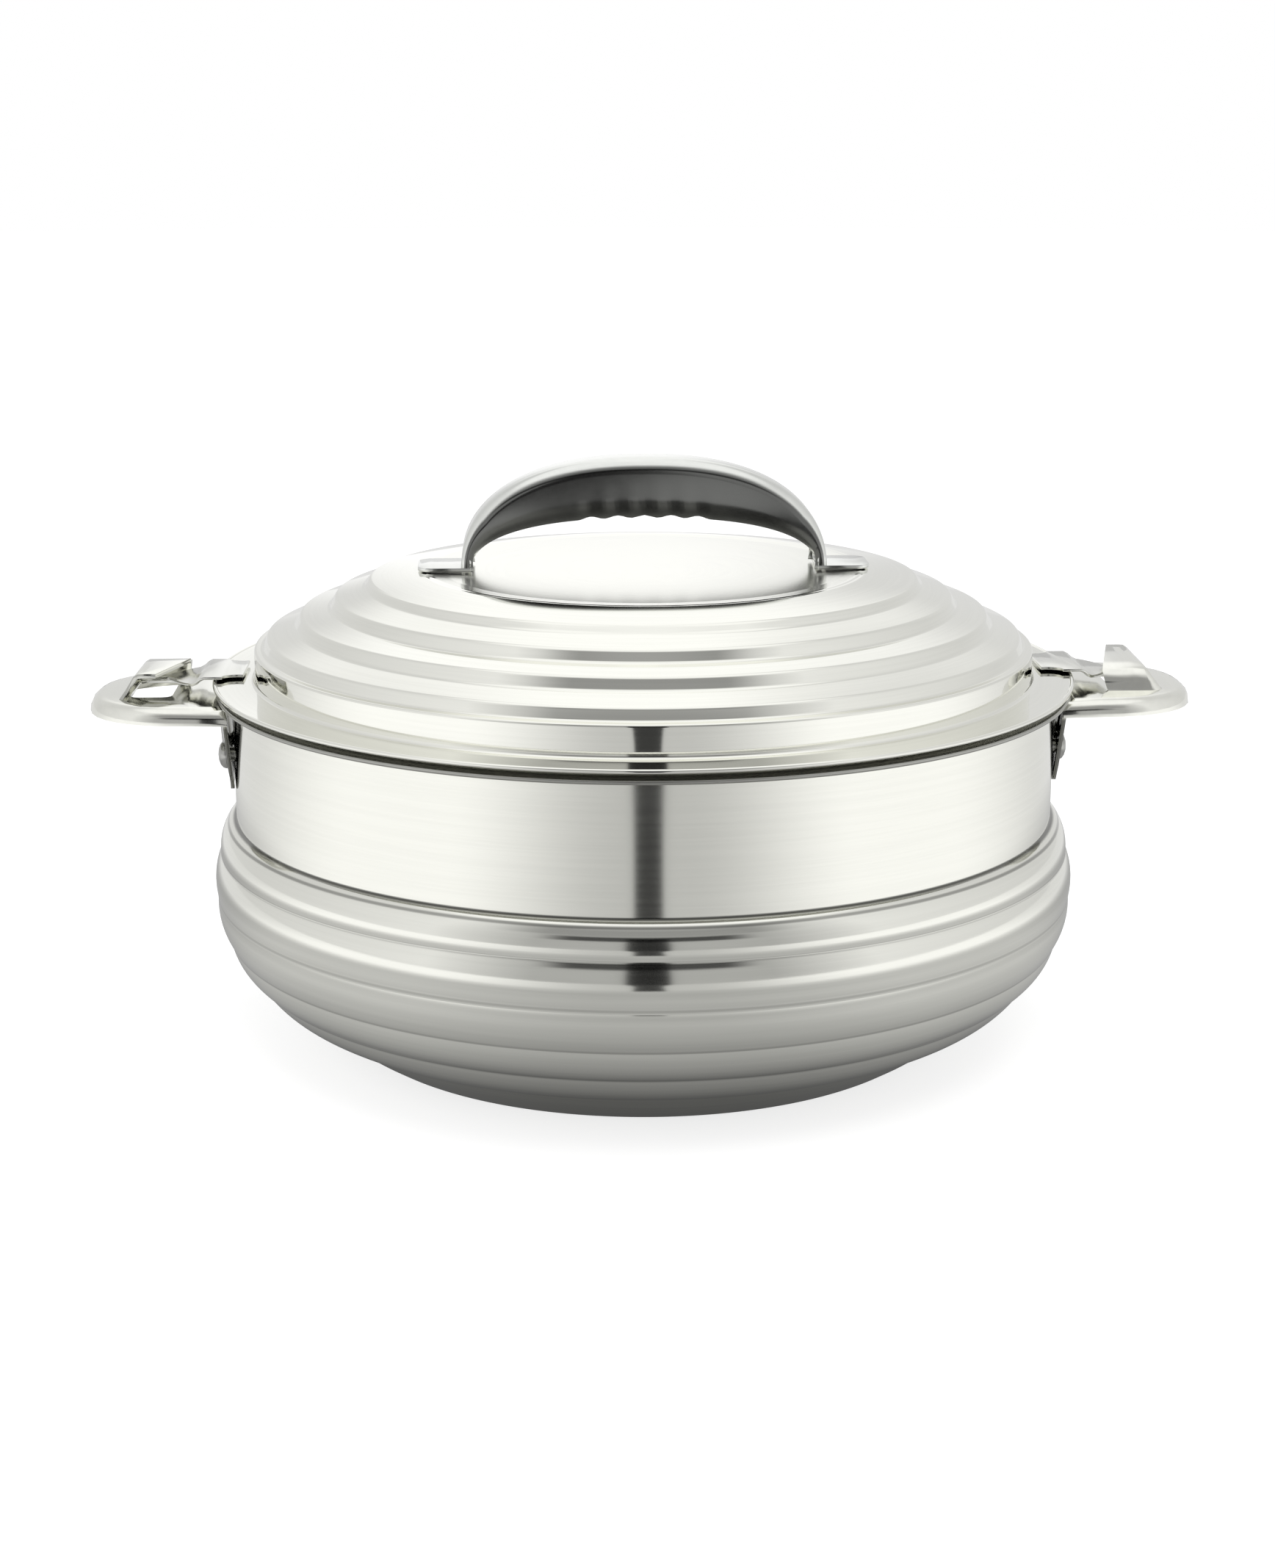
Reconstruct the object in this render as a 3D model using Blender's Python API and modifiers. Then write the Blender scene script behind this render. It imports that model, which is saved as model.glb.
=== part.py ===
"""Insulated chapati casserole: a double-walled steel bowl with a twist-lock lid.

Metres, +Z up, origin at the centre of the foot ring, side handles along X.
"""
import math

import bmesh
import bpy
from mathutils import Matrix, Vector

MM = 0.001

# Facets and cutting
TURNED_STEPS = 36
FINE_STEPS = 20
MERGE = 0.001 * MM
GAP = 0.3 * MM
OVERRUN = 6.0 * MM

# Sheet thicknesses
SHELL_SHEET = 0.7 * MM
HANDLE_SHEET = 1.2 * MM
TAB_SHEET = 1.0 * MM
COVER_SHEET = 0.8 * MM

# Outer shell: a straight neck above a ringed belly
NECK_RADIUS = 133.8 * MM
NECK_TOP = 116.4 * MM
NECK_STEP = 0.9 * MM
BELLY_BULGE = 7.6 * MM
BELLY_RADIUS = NECK_RADIUS + BELLY_BULGE
BELLY_HEIGHT = 74.5 * MM
FOOT_RING_WIDTH = 8.5 * MM
FOOT_LIP_HEIGHT = 4.5 * MM
RING_STEPS = 3
# Corner radius, corner height and outward bulge of the ring above it, top to bottom
BELLY_RING_SHARES = (
    (0.987, 0.847, 0.011),
    (1.000, 0.658, 0.005),
    (0.977, 0.475, 0.004),
    (0.924, 0.325, 0.006),
    (0.801, 0.165, 0.016),
    (0.683, 0.000, 0.004),
)

# Base cover and its filling plug
COVER_TOP = 4.2 * MM
COVER_EDGE_LIFT = 0.8 * MM
COVER_DISH_RADIUS = 62.0 * MM
COVER_DISH_DROP = 1.2 * MM
COVER_DISH_SLOPE = 2.5 * MM
PLUG_HOLE_RADIUS = 6.0 * MM
PLUG_HEAD_RADIUS = 9.0 * MM
PLUG_HEAD_HEIGHT = 1.4 * MM
PLUG_STEM_LENGTH = 3.6 * MM

# Inner bowl
BOWL_WALL_SPACE = 12.3 * MM
BOWL_RADIUS = NECK_RADIUS - BOWL_WALL_SPACE
BOWL_FLOOR_SPACE = 13.8 * MM
BOWL_FLOOR = COVER_TOP + BOWL_FLOOR_SPACE
BOWL_FLOOR_CURVE = 24.0 * MM
BOWL_FLOOR_DRAFT = 2.5 * MM
BOWL_FLANGE_TOP = NECK_TOP + GAP + SHELL_SHEET
BOWL_MOUTH_CURVE = 2.0 * MM
BOWL_BEAD_RADIUS = 0.8 * MM
BOWL_BEAD_DROP = 1.7 * MM
BOWL_BRIM_OVERHANG = 5.2 * MM
BOWL_RIM_RADIUS = NECK_RADIUS + BOWL_BRIM_OVERHANG
BOWL_BRIM_ROLL = 2.8 * MM
BOWL_FLANGE_RADIUS = BOWL_RIM_RADIUS - BOWL_BRIM_ROLL

# Lid
PAN_FLANGE_WIDTH = 13.0 * MM
PAN_FLANGE_RADIUS = BOWL_RADIUS + PAN_FLANGE_WIDTH
PAN_SIDE_GAP = 1.9 * MM
PAN_DEPTH = 8.5 * MM
PAN_CURVE = 5.0 * MM
LID_BRIM_TOP = BOWL_FLANGE_TOP + 2 * (GAP + SHELL_SHEET)
LID_RIM_OVERHANG = 1.0 * MM
LID_RIM_RADIUS = BOWL_RIM_RADIUS + LID_RIM_OVERHANG
LID_BEAD_RADIUS = 0.75 * MM
LID_BEAD_DROP = 0.35 * MM
LID_BRIM_WIDTH = 13.7 * MM
LID_WALL_RADIUS = LID_RIM_RADIUS - LID_BRIM_WIDTH
LID_RISE = 34.0 * MM
LID_DISC_RADIUS = 70.4 * MM
LID_GROOVE_WIDTH = 1.8 * MM
LID_GROOVE_DEPTH = 0.8 * MM
# Radius and height of each corner of the stepped top, from the disc outwards
LID_STEP_SHARES = (
    (0.702, 0.929),
    (0.717, 0.853),
    (0.790, 0.774),
    (0.806, 0.665),
    (0.880, 0.609),
    (0.896, 0.494),
    (0.966, 0.412),
    (0.978, 0.300),
    (1.000, 0.294),
)

# Lid handle: an arched channel with welded feet
ARCH_HALF_SPAN = 59.0 * MM
ARCH_HEIGHT = 36.0 * MM
ARCH_POWER = 2.3
ARCH_LEG_DEPTH = 3.2 * MM
ARCH_INNER_HALF_SPAN = ARCH_HALF_SPAN - ARCH_LEG_DEPTH
ARCH_CROWN_DEPTH = 19.2 * MM
ARCH_INNER_HEIGHT = ARCH_HEIGHT - ARCH_CROWN_DEPTH
ARCH_INNER_POWER = 2.4
ARCH_TOP_HALF_DEPTH = 8.8 * MM
ARCH_FOOT_HALF_DEPTH = 10.2 * MM
ARCH_EDGE_CURVE = 1.7 * MM
ARCH_FLANGE_LEAN = 1.1 * MM
ARCH_CROWN = 0.35 * MM
ARCH_SIDE_STATIONS = 9
SCALLOP_COUNT = 5
SCALLOP_PITCH = 7.5 * MM
SCALLOP_DEPTH = 0.7 * MM
SCALLOP_STEPS = 4
ARCH_FOOT_LENGTH = 14.0 * MM
ARCH_FOOT_CORNER = 5.0 * MM

# Lock tabs on the lid brim, with a tongue that slides under a hood
TAB_HALF_WIDTH = 18.0 * MM
TAB_WALL_SPACE = 3.2 * MM
TAB_INNER_RADIUS = LID_WALL_RADIUS + TAB_WALL_SPACE
TAB_RIM_CLEARANCE = 2.0 * MM
TAB_BEND_RADIUS = LID_RIM_RADIUS + TAB_RIM_CLEARANCE
TAB_SLOPE_LENGTH = 4.0 * MM
TAB_TONGUE_RADIUS = TAB_BEND_RADIUS + TAB_SLOPE_LENGTH
TAB_TONGUE_LENGTH = 9.2 * MM
TAB_TIP_RADIUS = TAB_TONGUE_RADIUS + TAB_TONGUE_LENGTH
TAB_TONGUE_DROP = 2.4 * MM
TAB_TIP_DROP = 0.3 * MM
TAB_TIP_POWER = 2.1
TAB_TIP_SHARE = 0.2
TAB_TIP_STATIONS = 7
BITE_RADIUS = 4.6 * MM
BITE_OFFSET = 2.0 * MM
BITE_CENTRE = TAB_INNER_RADIUS + BITE_OFFSET
BITE_STATIONS = 7

# Side handles: a pressed wing, a flange on the neck and a raised hood
WING_REACH = 40.0 * MM
WING_TIP_RADIUS = LID_RIM_RADIUS + WING_REACH
WING_HALF_WIDTH = 33.0 * MM
WING_STRAIGHT_REACH = 5.0 * MM
WING_CURVE_START = LID_RIM_RADIUS + WING_STRAIGHT_REACH
WING_POWER = 2.3
WING_DROP = 2.0 * MM
WING_TOP = NECK_TOP - WING_DROP
WING_SKIRT_DEPTH = 5.4 * MM
WING_STATIONS = 9
# Inset from the outline and depth below the top, across the rounded edge
WING_EDGE_SHARES = ((0.00, 1.00), (0.05, 0.62), (0.20, 0.30), (0.48, 0.07), (0.85, 0.00))
FLANGE_BELLY_SPACE = 10.5 * MM
FLANGE_BOTTOM = BELLY_HEIGHT + FLANGE_BELLY_SPACE
FLANGE_TOP_INSET = 2.0 * MM
FLANGE_TOP_HALF_WIDTH = WING_HALF_WIDTH - FLANGE_TOP_INSET
FLANGE_TAPER = 7.0 * MM
FLANGE_BOTTOM_HALF_WIDTH = FLANGE_TOP_HALF_WIDTH - FLANGE_TAPER
FLANGE_CORNER = 6.0 * MM
FLANGE_COLUMNS = 8
HOOD_TONGUE_LAP = 4.8 * MM
HOOD_INNER_RADIUS = TAB_TIP_RADIUS - HOOD_TONGUE_LAP
HOOD_WIDTH = 18.6 * MM
HOOD_OUTER_RADIUS = HOOD_INNER_RADIUS + HOOD_WIDTH
SLOT_INNER_EDGE = 2.1 * MM
SLOT_INNER_RADIUS = HOOD_INNER_RADIUS + SLOT_INNER_EDGE
SLOT_OUTER_EDGE = 3.0 * MM
SLOT_OUTER_RADIUS = HOOD_OUTER_RADIUS - SLOT_OUTER_EDGE
SLOT_HALF_WIDTH = 14.0 * MM
SLOT_CORNER = 3.0 * MM
HOOD_MOUTH = 17.0 * MM
HOOD_CLOSED_END = 18.5 * MM
HOOD_HEIGHT = 6.4 * MM
HOOD_RISE = 0.5 * MM
HOOD_SINK = 0.6 * MM
# Place across the hood and share of its height there, from the open to the closed end
HOOD_ACROSS_SHARES = ((0.0, 1.0), (0.28, 1.0), (0.56, 1.0), (0.78, 0.99), (0.85, 0.9), (0.93, 0.45), (1.0, 0.0))
HOOD_ALONG_SHARES = (
    (0.0, 1.0), (0.22, 1.0), (0.44, 1.0), (0.66, 1.0), (0.86, 0.99), (0.91, 0.88), (0.96, 0.45), (1.0, 0.0),
)

# Rivets that hold the side handles
RIVET_SPACING = 24.0 * MM
RIVET_INSET = 10.0 * MM
RIVET_HEIGHT = FLANGE_BOTTOM + RIVET_INSET
RIVET_SHANK_RADIUS = 2.3 * MM
RIVET_HEAD_RADIUS = 4.7 * MM
RIVET_HEAD_EDGE = 0.9 * MM
RIVET_HEAD_HEIGHT = 3.3 * MM
RIVET_TAIL_RADIUS = 3.8 * MM
RIVET_TAIL_HEIGHT = 1.1 * MM
WASHER_RADIUS = 5.5 * MM
WASHER_SHEET = 1.0 * MM
POCKET_DEPTH = 6.0 * MM
POCKET_CLEARANCE = 0.6 * MM

STEEL_COLOUR = (0.80, 0.81, 0.80, 1.0)
BRUSHED_COLOUR = (0.72, 0.73, 0.72, 1.0)
FOAM_COLOUR = (0.86, 0.78, 0.52, 1.0)
PLUG_COLOUR = (0.06, 0.06, 0.06, 1.0)


def clear_scene():
    for item in list(bpy.data.objects):
        bpy.data.objects.remove(item, do_unlink=True)


def collection(name):
    group = bpy.data.collections.new(name)
    bpy.context.scene.collection.children.link(group)
    return group


def finish_material(name, colour, roughness, metallic):
    material = bpy.data.materials.new(name)
    material.use_nodes = True
    shader = material.node_tree.nodes["Principled BSDF"]
    shader.inputs["Base Color"].default_value = colour
    shader.inputs["Roughness"].default_value = roughness
    shader.inputs["Metallic"].default_value = metallic
    return material


def add_object(name, mesh, group, material=None, parent=None):
    item = bpy.data.objects.new(name, mesh)
    group.objects.link(item)
    if material is not None:
        mesh.materials.append(material)
    if parent is not None:
        item.parent = parent
        item.matrix_parent_inverse = Matrix.Translation(-parent.location)
    return item


def smooth_share(value):
    """0 below 0, 1 above 1 and a smooth rise between."""
    value = min(1.0, max(0.0, value))
    return value * value * (3.0 - 2.0 * value)


def arc(centre, radius, start, end, steps):
    """Points on an arc; angles in degrees, anticlockwise from outwards."""
    points = []
    for index in range(steps + 1):
        angle = math.radians(start + (end - start) * index / steps)
        points.append((centre[0] + radius * math.cos(angle), centre[1] + radius * math.sin(angle)))
    return points


def rounded(corners, steps=3):
    """A path through (across, up, fillet) corners with each fillet as an arc."""
    path = []
    for index, (across, up, fillet) in enumerate(corners):
        corner = Vector((across, up))
        if fillet == 0 or index in (0, len(corners) - 1):
            path.append((across, up))
            continue
        before = (Vector(corners[index - 1][:2]) - corner).normalized()
        after = (Vector(corners[index + 1][:2]) - corner).normalized()
        half = before.angle(after) / 2
        reach = fillet / math.tan(half)
        centre = corner + (before + after).normalized() * (fillet / math.sin(half))
        first = corner + before * reach - centre
        last = corner + after * reach - centre
        turn = first.angle_signed(last)
        for step in range(steps + 1):
            point = centre + Matrix.Rotation(-turn * step / steps, 2) @ first
            path.append((point.x, point.y))
    return path


def offset(path, distance):
    """The path moved to its left, with mitred corners; its ends stay level with the axis."""
    points = [Vector(point) for point in path]
    normals = []
    for start, end in zip(points, points[1:]):
        along = (end - start).normalized()
        normals.append(Vector((-along.y, along.x)))
    moved = []
    for index, point in enumerate(points):
        before = normals[max(index - 1, 0)]
        after = normals[min(index, len(normals) - 1)]
        middle = (before + after).normalized()
        shift = middle * (distance / middle.dot(before))
        across = point.x + shift.x if point.x > MERGE else 0.0
        moved.append((across, point.y + shift.y))
    return moved


def sheet_section(path, thickness, edge=()):
    """Section of a bent sheet whose material lies to the right of its visible path."""
    back = list(reversed(offset(path, -thickness)))
    if path[0][0] < MERGE:
        return list(path) + list(edge) + back
    return back + list(path)


def turned(name, section, group, material, parent=None, steps=TURNED_STEPS):
    """Turn a section about Z; a section that misses the axis is closed on itself."""
    edges = [(index, index + 1) for index in range(len(section) - 1)]
    if section[0][0] > MERGE or section[-1][0] > MERGE:
        edges.append((len(section) - 1, 0))
    mesh = bpy.data.meshes.new(name)
    mesh.from_pydata([(across, 0.0, up) for across, up in section], edges, [])
    item = add_object(name, mesh, group, material, parent)
    screw = item.modifiers.new("turn", "SCREW")
    screw.axis = "Z"
    screw.angle = math.tau
    screw.steps = steps
    screw.render_steps = steps
    screw.use_merge_vertices = True
    screw.merge_threshold = MERGE
    screw.use_smooth_shade = True
    return item


def grid_mesh(name, rows):
    """A surface through rows of points; points that meet are merged."""
    mesh = bpy.data.meshes.new(name)
    count = len(rows[0])
    points = [point for row in rows for point in row]
    faces = []
    for row in range(len(rows) - 1):
        for column in range(count - 1):
            corner = row * count + column
            faces.append((corner, corner + 1, corner + count + 1, corner + count))
    mesh.from_pydata(points, [], faces)
    build = bmesh.new()
    build.from_mesh(mesh)
    bmesh.ops.remove_doubles(build, verts=build.verts, dist=MERGE)
    bmesh.ops.dissolve_degenerate(build, dist=MERGE, edges=build.edges)
    build.to_mesh(mesh)
    build.free()
    return mesh


def thicken(item, thickness):
    """Give a surface its sheet thickness on the side its faces point away from."""
    solidify = item.modifiers.new("sheet", "SOLIDIFY")
    solidify.thickness = thickness
    solidify.offset = -1.0
    solidify.use_even_offset = True
    return item


def boolean(item, other, operation):
    modifier = item.modifiers.new(operation.lower(), "BOOLEAN")
    modifier.operation = operation
    modifier.object = other
    modifier.solver = "EXACT"


def guide(item):
    """Keep a cutter or a joined piece out of the model itself."""
    item.hide_render = True
    item.display_type = "WIRE"
    return item


def applied(item):
    """The evaluated shape of an object as a plain mesh, and the object removed."""
    bpy.context.view_layer.update()
    graph = bpy.context.evaluated_depsgraph_get()
    mesh = bpy.data.meshes.new_from_object(item.evaluated_get(graph))
    build = bmesh.new()
    build.from_mesh(mesh)
    bmesh.ops.remove_doubles(build, verts=build.verts, dist=MERGE)
    build.to_mesh(mesh)
    build.free()
    bpy.data.objects.remove(item, do_unlink=True)
    return mesh


def flat_plate(name, outline, bottom, thickness, group):
    """A flat outline with a thickness, as a mesh."""
    curve = bpy.data.curves.new(name, "CURVE")
    curve.dimensions = "2D"
    curve.fill_mode = "BOTH"
    curve.extrude = thickness / 2
    spline = curve.splines.new("POLY")
    spline.points.add(len(outline) - 1)
    for point, (across, along) in zip(spline.points, outline):
        point.co = (across, along, 0.0, 1.0)
    spline.use_cyclic_u = True
    shape = bpy.data.objects.new(name + "_outline", curve)
    group.objects.link(shape)
    mesh = applied(shape)
    mesh.transform(Matrix.Translation((0.0, 0.0, bottom + thickness / 2)))
    item = bpy.data.objects.new(name, mesh)
    group.objects.link(item)
    return item


def rod(name, radius, length, group, steps=FINE_STEPS):
    """A cylinder along Z, centred on its own origin."""
    mesh = bpy.data.meshes.new(name)
    build = bmesh.new()
    bmesh.ops.create_cone(build, cap_ends=True, segments=steps, radius1=radius, radius2=radius,
                          depth=length)
    build.to_mesh(mesh)
    build.free()
    return add_object(name, mesh, group)


def between(path, low, high):
    """The part of a path between two levels, cut where it crosses them."""
    kept = []
    for index, point in enumerate(path):
        last = path[max(index - 1, 0)]
        for level in (low, high):
            if (last[1] - level) * (point[1] - level) < 0:
                share = (level - last[1]) / (point[1] - last[1])
                kept.append((last[0] + share * (point[0] - last[0]), level))
        if low <= point[1] <= high:
            kept.append(tuple(point))
    return kept


def belly_path(ring_steps=RING_STEPS):
    """Outer side of the shell from the neck top down to the foot ring."""
    path = [(NECK_RADIUS, NECK_TOP), (NECK_RADIUS, BELLY_HEIGHT)]
    last = Vector((NECK_RADIUS + NECK_STEP, BELLY_HEIGHT - NECK_STEP))
    path.append(tuple(last))
    for radius_share, height_share, bulge_share in BELLY_RING_SHARES:
        corner = Vector((radius_share * BELLY_RADIUS, height_share * BELLY_HEIGHT))
        along = (corner - last).normalized()
        outwards = Vector((-along.y, along.x))
        for step in range(1, ring_steps):
            share = step / ring_steps
            bulge = 4.0 * share * (1.0 - share) * bulge_share * BELLY_RADIUS
            path.append(tuple(last.lerp(corner, share) + outwards * bulge))
        path.append(tuple(corner))
        last = corner
    return path


def foot_radius():
    return BELLY_RING_SHARES[-1][0] * BELLY_RADIUS


def lip_radius():
    """Inner side of the foot ring, where the shell turns up to hold the base cover."""
    return foot_radius() - FOOT_RING_WIDTH


def bowl_path():
    """Visible inner side of the bowl from the floor's centre to the start of the bead."""
    return rounded((
        (0.0, BOWL_FLOOR, 0.0),
        (BOWL_RADIUS - BOWL_FLOOR_DRAFT, BOWL_FLOOR, BOWL_FLOOR_CURVE),
        (BOWL_RADIUS, BOWL_FLANGE_TOP, BOWL_MOUTH_CURVE),
        (BOWL_FLANGE_RADIUS, BOWL_FLANGE_TOP, 0.0),
    ), steps=4)


def lid_path():
    """Visible top of the lid from its centre to the start of the brim's bead."""
    disc_top = LID_BRIM_TOP + LID_RISE
    ledge = LID_DISC_RADIUS + LID_GROOVE_WIDTH
    path = [
        (0.0, disc_top),
        (LID_DISC_RADIUS, disc_top),
        (LID_DISC_RADIUS + LID_GROOVE_WIDTH / 2, disc_top - LID_GROOVE_DEPTH),
        (ledge, disc_top - LID_GROOVE_DEPTH / 2),
    ]
    for radius_share, rise_share in LID_STEP_SHARES:
        path.append((radius_share * LID_WALL_RADIUS, LID_BRIM_TOP + rise_share * LID_RISE))
    path.append((LID_WALL_RADIUS, LID_BRIM_TOP + LID_BEAD_RADIUS))
    path.append((LID_WALL_RADIUS + LID_BEAD_RADIUS, LID_BRIM_TOP))
    path.append((LID_RIM_RADIUS - 2 * LID_BEAD_RADIUS, LID_BRIM_TOP))
    return path


def pan_radius():
    return BOWL_RADIUS - PAN_SIDE_GAP


def pan_bottom():
    return BOWL_FLANGE_TOP + GAP - PAN_DEPTH


def pan_path():
    """Outer, lower side of the lid's inner pan, from its flange to its centre."""
    flange_bottom = BOWL_FLANGE_TOP + GAP
    return rounded((
        (PAN_FLANGE_RADIUS, flange_bottom, 0.0),
        (pan_radius(), flange_bottom, BOWL_MOUTH_CURVE),
        (pan_radius(), pan_bottom(), PAN_CURVE),
        (0.0, pan_bottom(), 0.0),
    ))


def make_outer_shell(group, steel):
    path = belly_path()
    path.append((lip_radius(), 0.0))
    path.append((lip_radius(), FOOT_LIP_HEIGHT))
    shell = turned("outer_shell", sheet_section(path, SHELL_SHEET), group, steel)
    for side in (0.0, math.pi):
        for angle in rivet_angles():
            boolean(shell, rivet_hole(side + angle), "DIFFERENCE")
    return shell


def make_inner_bowl(group, steel):
    centre = (BOWL_RIM_RADIUS - BOWL_BEAD_RADIUS, BOWL_FLANGE_TOP - BOWL_BEAD_DROP)
    bead = arc(centre, BOWL_BEAD_RADIUS, 110, -190, 7)
    turned("inner_bowl", sheet_section(bowl_path(), SHELL_SHEET, bead), group, steel)


def make_bowl_insulation(group, foam):
    """Foam that fills the space between the shell, the bowl and the base cover."""
    clear = SHELL_SHEET + GAP
    foam_bottom = FOOT_LIP_HEIGHT + GAP
    foam_top = NECK_TOP - GAP
    outside = between(offset(belly_path(1), -clear), foam_bottom, foam_top)
    inside = between(offset(bowl_path(), -clear), 0.0, foam_top)
    pocket_radius = PLUG_HOLE_RADIUS + GAP
    pocket_top = foam_bottom + PLUG_STEM_LENGTH
    bottom = [
        (pocket_radius, foam_bottom),
        (pocket_radius, pocket_top),
        (0.0, pocket_top),
    ]
    body = turned("bowl_insulation", inside + outside + bottom, group, foam)
    half_width = RIVET_SPACING / 2 + WASHER_RADIUS + POCKET_CLEARANCE
    half_height = WASHER_RADIUS + POCKET_CLEARANCE
    for side in (1.0, -1.0):
        mesh = bpy.data.meshes.new("rivet_pocket")
        build = bmesh.new()
        size = (2 * POCKET_DEPTH, 2 * half_width, 2 * half_height, 1.0)
        bmesh.ops.create_cube(build, size=1.0, matrix=Matrix.Diagonal(size))
        build.to_mesh(mesh)
        build.free()
        pocket = guide(add_object("rivet_pocket", mesh, CUTTERS))
        pocket.location = (side * NECK_RADIUS, 0.0, RIVET_HEIGHT)
        boolean(body, pocket, "DIFFERENCE")


def make_base(group, steel, black):
    """Pressed cover inside the foot lip, and the plug that closes its filling hole."""
    edge = lip_radius() - GAP
    upper = COVER_TOP - COVER_DISH_DROP
    outer = rounded((
        (PLUG_HOLE_RADIUS, upper, 0.0),
        (COVER_DISH_RADIUS, upper, 0.0),
        (COVER_DISH_RADIUS + COVER_DISH_SLOPE, COVER_TOP, 0.0),
        (edge, COVER_TOP, COVER_SHEET + GAP),
        (edge, COVER_EDGE_LIFT, 0.0),
    ))
    back = list(reversed(offset(outer, -COVER_SHEET)))
    turned("base_cover", outer + back, group, steel)
    seat = upper - COVER_SHEET - GAP
    plug = [
        (0.0, seat + PLUG_STEM_LENGTH + COVER_SHEET),
        (PLUG_HOLE_RADIUS - 3 * GAP, seat + PLUG_STEM_LENGTH + COVER_SHEET),
        (PLUG_HOLE_RADIUS - GAP, seat + COVER_SHEET + GAP),
        (PLUG_HOLE_RADIUS - GAP, seat),
        (PLUG_HEAD_RADIUS, seat),
        (PLUG_HEAD_RADIUS - GAP, seat - PLUG_HEAD_HEIGHT),
        (0.0, seat - PLUG_HEAD_HEIGHT),
    ]
    turned("foam_plug", plug, group, black, steps=FINE_STEPS)


def make_lid_shell(group, steel, lid):
    centre = (LID_RIM_RADIUS - LID_BEAD_RADIUS, LID_BRIM_TOP - LID_BEAD_DROP)
    bead = arc(centre, LID_BEAD_RADIUS, 150, -150, 7)
    turned("lid_shell", sheet_section(lid_path(), SHELL_SHEET, bead), group, steel, lid)


def make_lid_pan(group, steel, foam, lid):
    """Inner pan and the foam that fills the lid above it."""
    turned("lid_inner_pan", sheet_section(pan_path(), SHELL_SHEET), group, steel, lid)
    clear = SHELL_SHEET + GAP
    top = offset(lid_path(), -clear)[:4 + len(LID_STEP_SHARES)]
    floor = BOWL_FLANGE_TOP + 2 * GAP + SHELL_SHEET
    pan_floor = pan_bottom() + clear
    below = rounded((
        (top[-1][0], floor, 0.0),
        (pan_radius() - clear, floor, 0.0),
        (pan_radius() - clear, pan_floor, PAN_CURVE - clear),
        (0.0, pan_floor, 0.0),
    ))
    turned("lid_insulation", top + below, group, foam, lid)


def arch_stations():
    """Share along the arch as (outer point, inner point) pairs, from +X to -X."""
    scallop_end = SCALLOP_COUNT * SCALLOP_PITCH / 2
    turn_share = (scallop_end / ARCH_HALF_SPAN) ** (ARCH_POWER / 2)
    last_turn = math.acos(turn_share)
    inner_end = ARCH_INNER_HALF_SPAN * turn_share ** (2 / ARCH_INNER_POWER)
    side = []
    for index in range(ARCH_SIDE_STATIONS):
        turn = last_turn * index / ARCH_SIDE_STATIONS
        cosine = math.cos(turn)
        sine = math.sin(turn)
        outer = (ARCH_HALF_SPAN * cosine ** (2 / ARCH_POWER), ARCH_HEIGHT * sine ** (2 / ARCH_POWER))
        inner = (ARCH_INNER_HALF_SPAN * cosine ** (2 / ARCH_INNER_POWER),
                 ARCH_INNER_HEIGHT * sine ** (2 / ARCH_INNER_POWER))
        side.append((outer, inner))
    middle = []
    steps = SCALLOP_COUNT * SCALLOP_STEPS
    for index in range(steps + 1):
        share = 1.0 - 2.0 * index / steps
        across = scallop_end * share
        up = ARCH_HEIGHT * (1.0 - (abs(across) / ARCH_HALF_SPAN) ** ARCH_POWER) ** (1 / ARCH_POWER)
        below = inner_end * share
        lift = ARCH_INNER_HEIGHT
        lift *= (1.0 - (abs(below) / ARCH_INNER_HALF_SPAN) ** ARCH_INNER_POWER) ** (1 / ARCH_INNER_POWER)
        lift += SCALLOP_DEPTH / 2 * (1.0 - math.cos(math.tau * index / SCALLOP_STEPS))
        middle.append(((across, up), (below, lift)))
    mirrored = [((-outer[0], outer[1]), (-inner[0], inner[1])) for outer, inner in reversed(side)]
    return side + middle + mirrored


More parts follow.
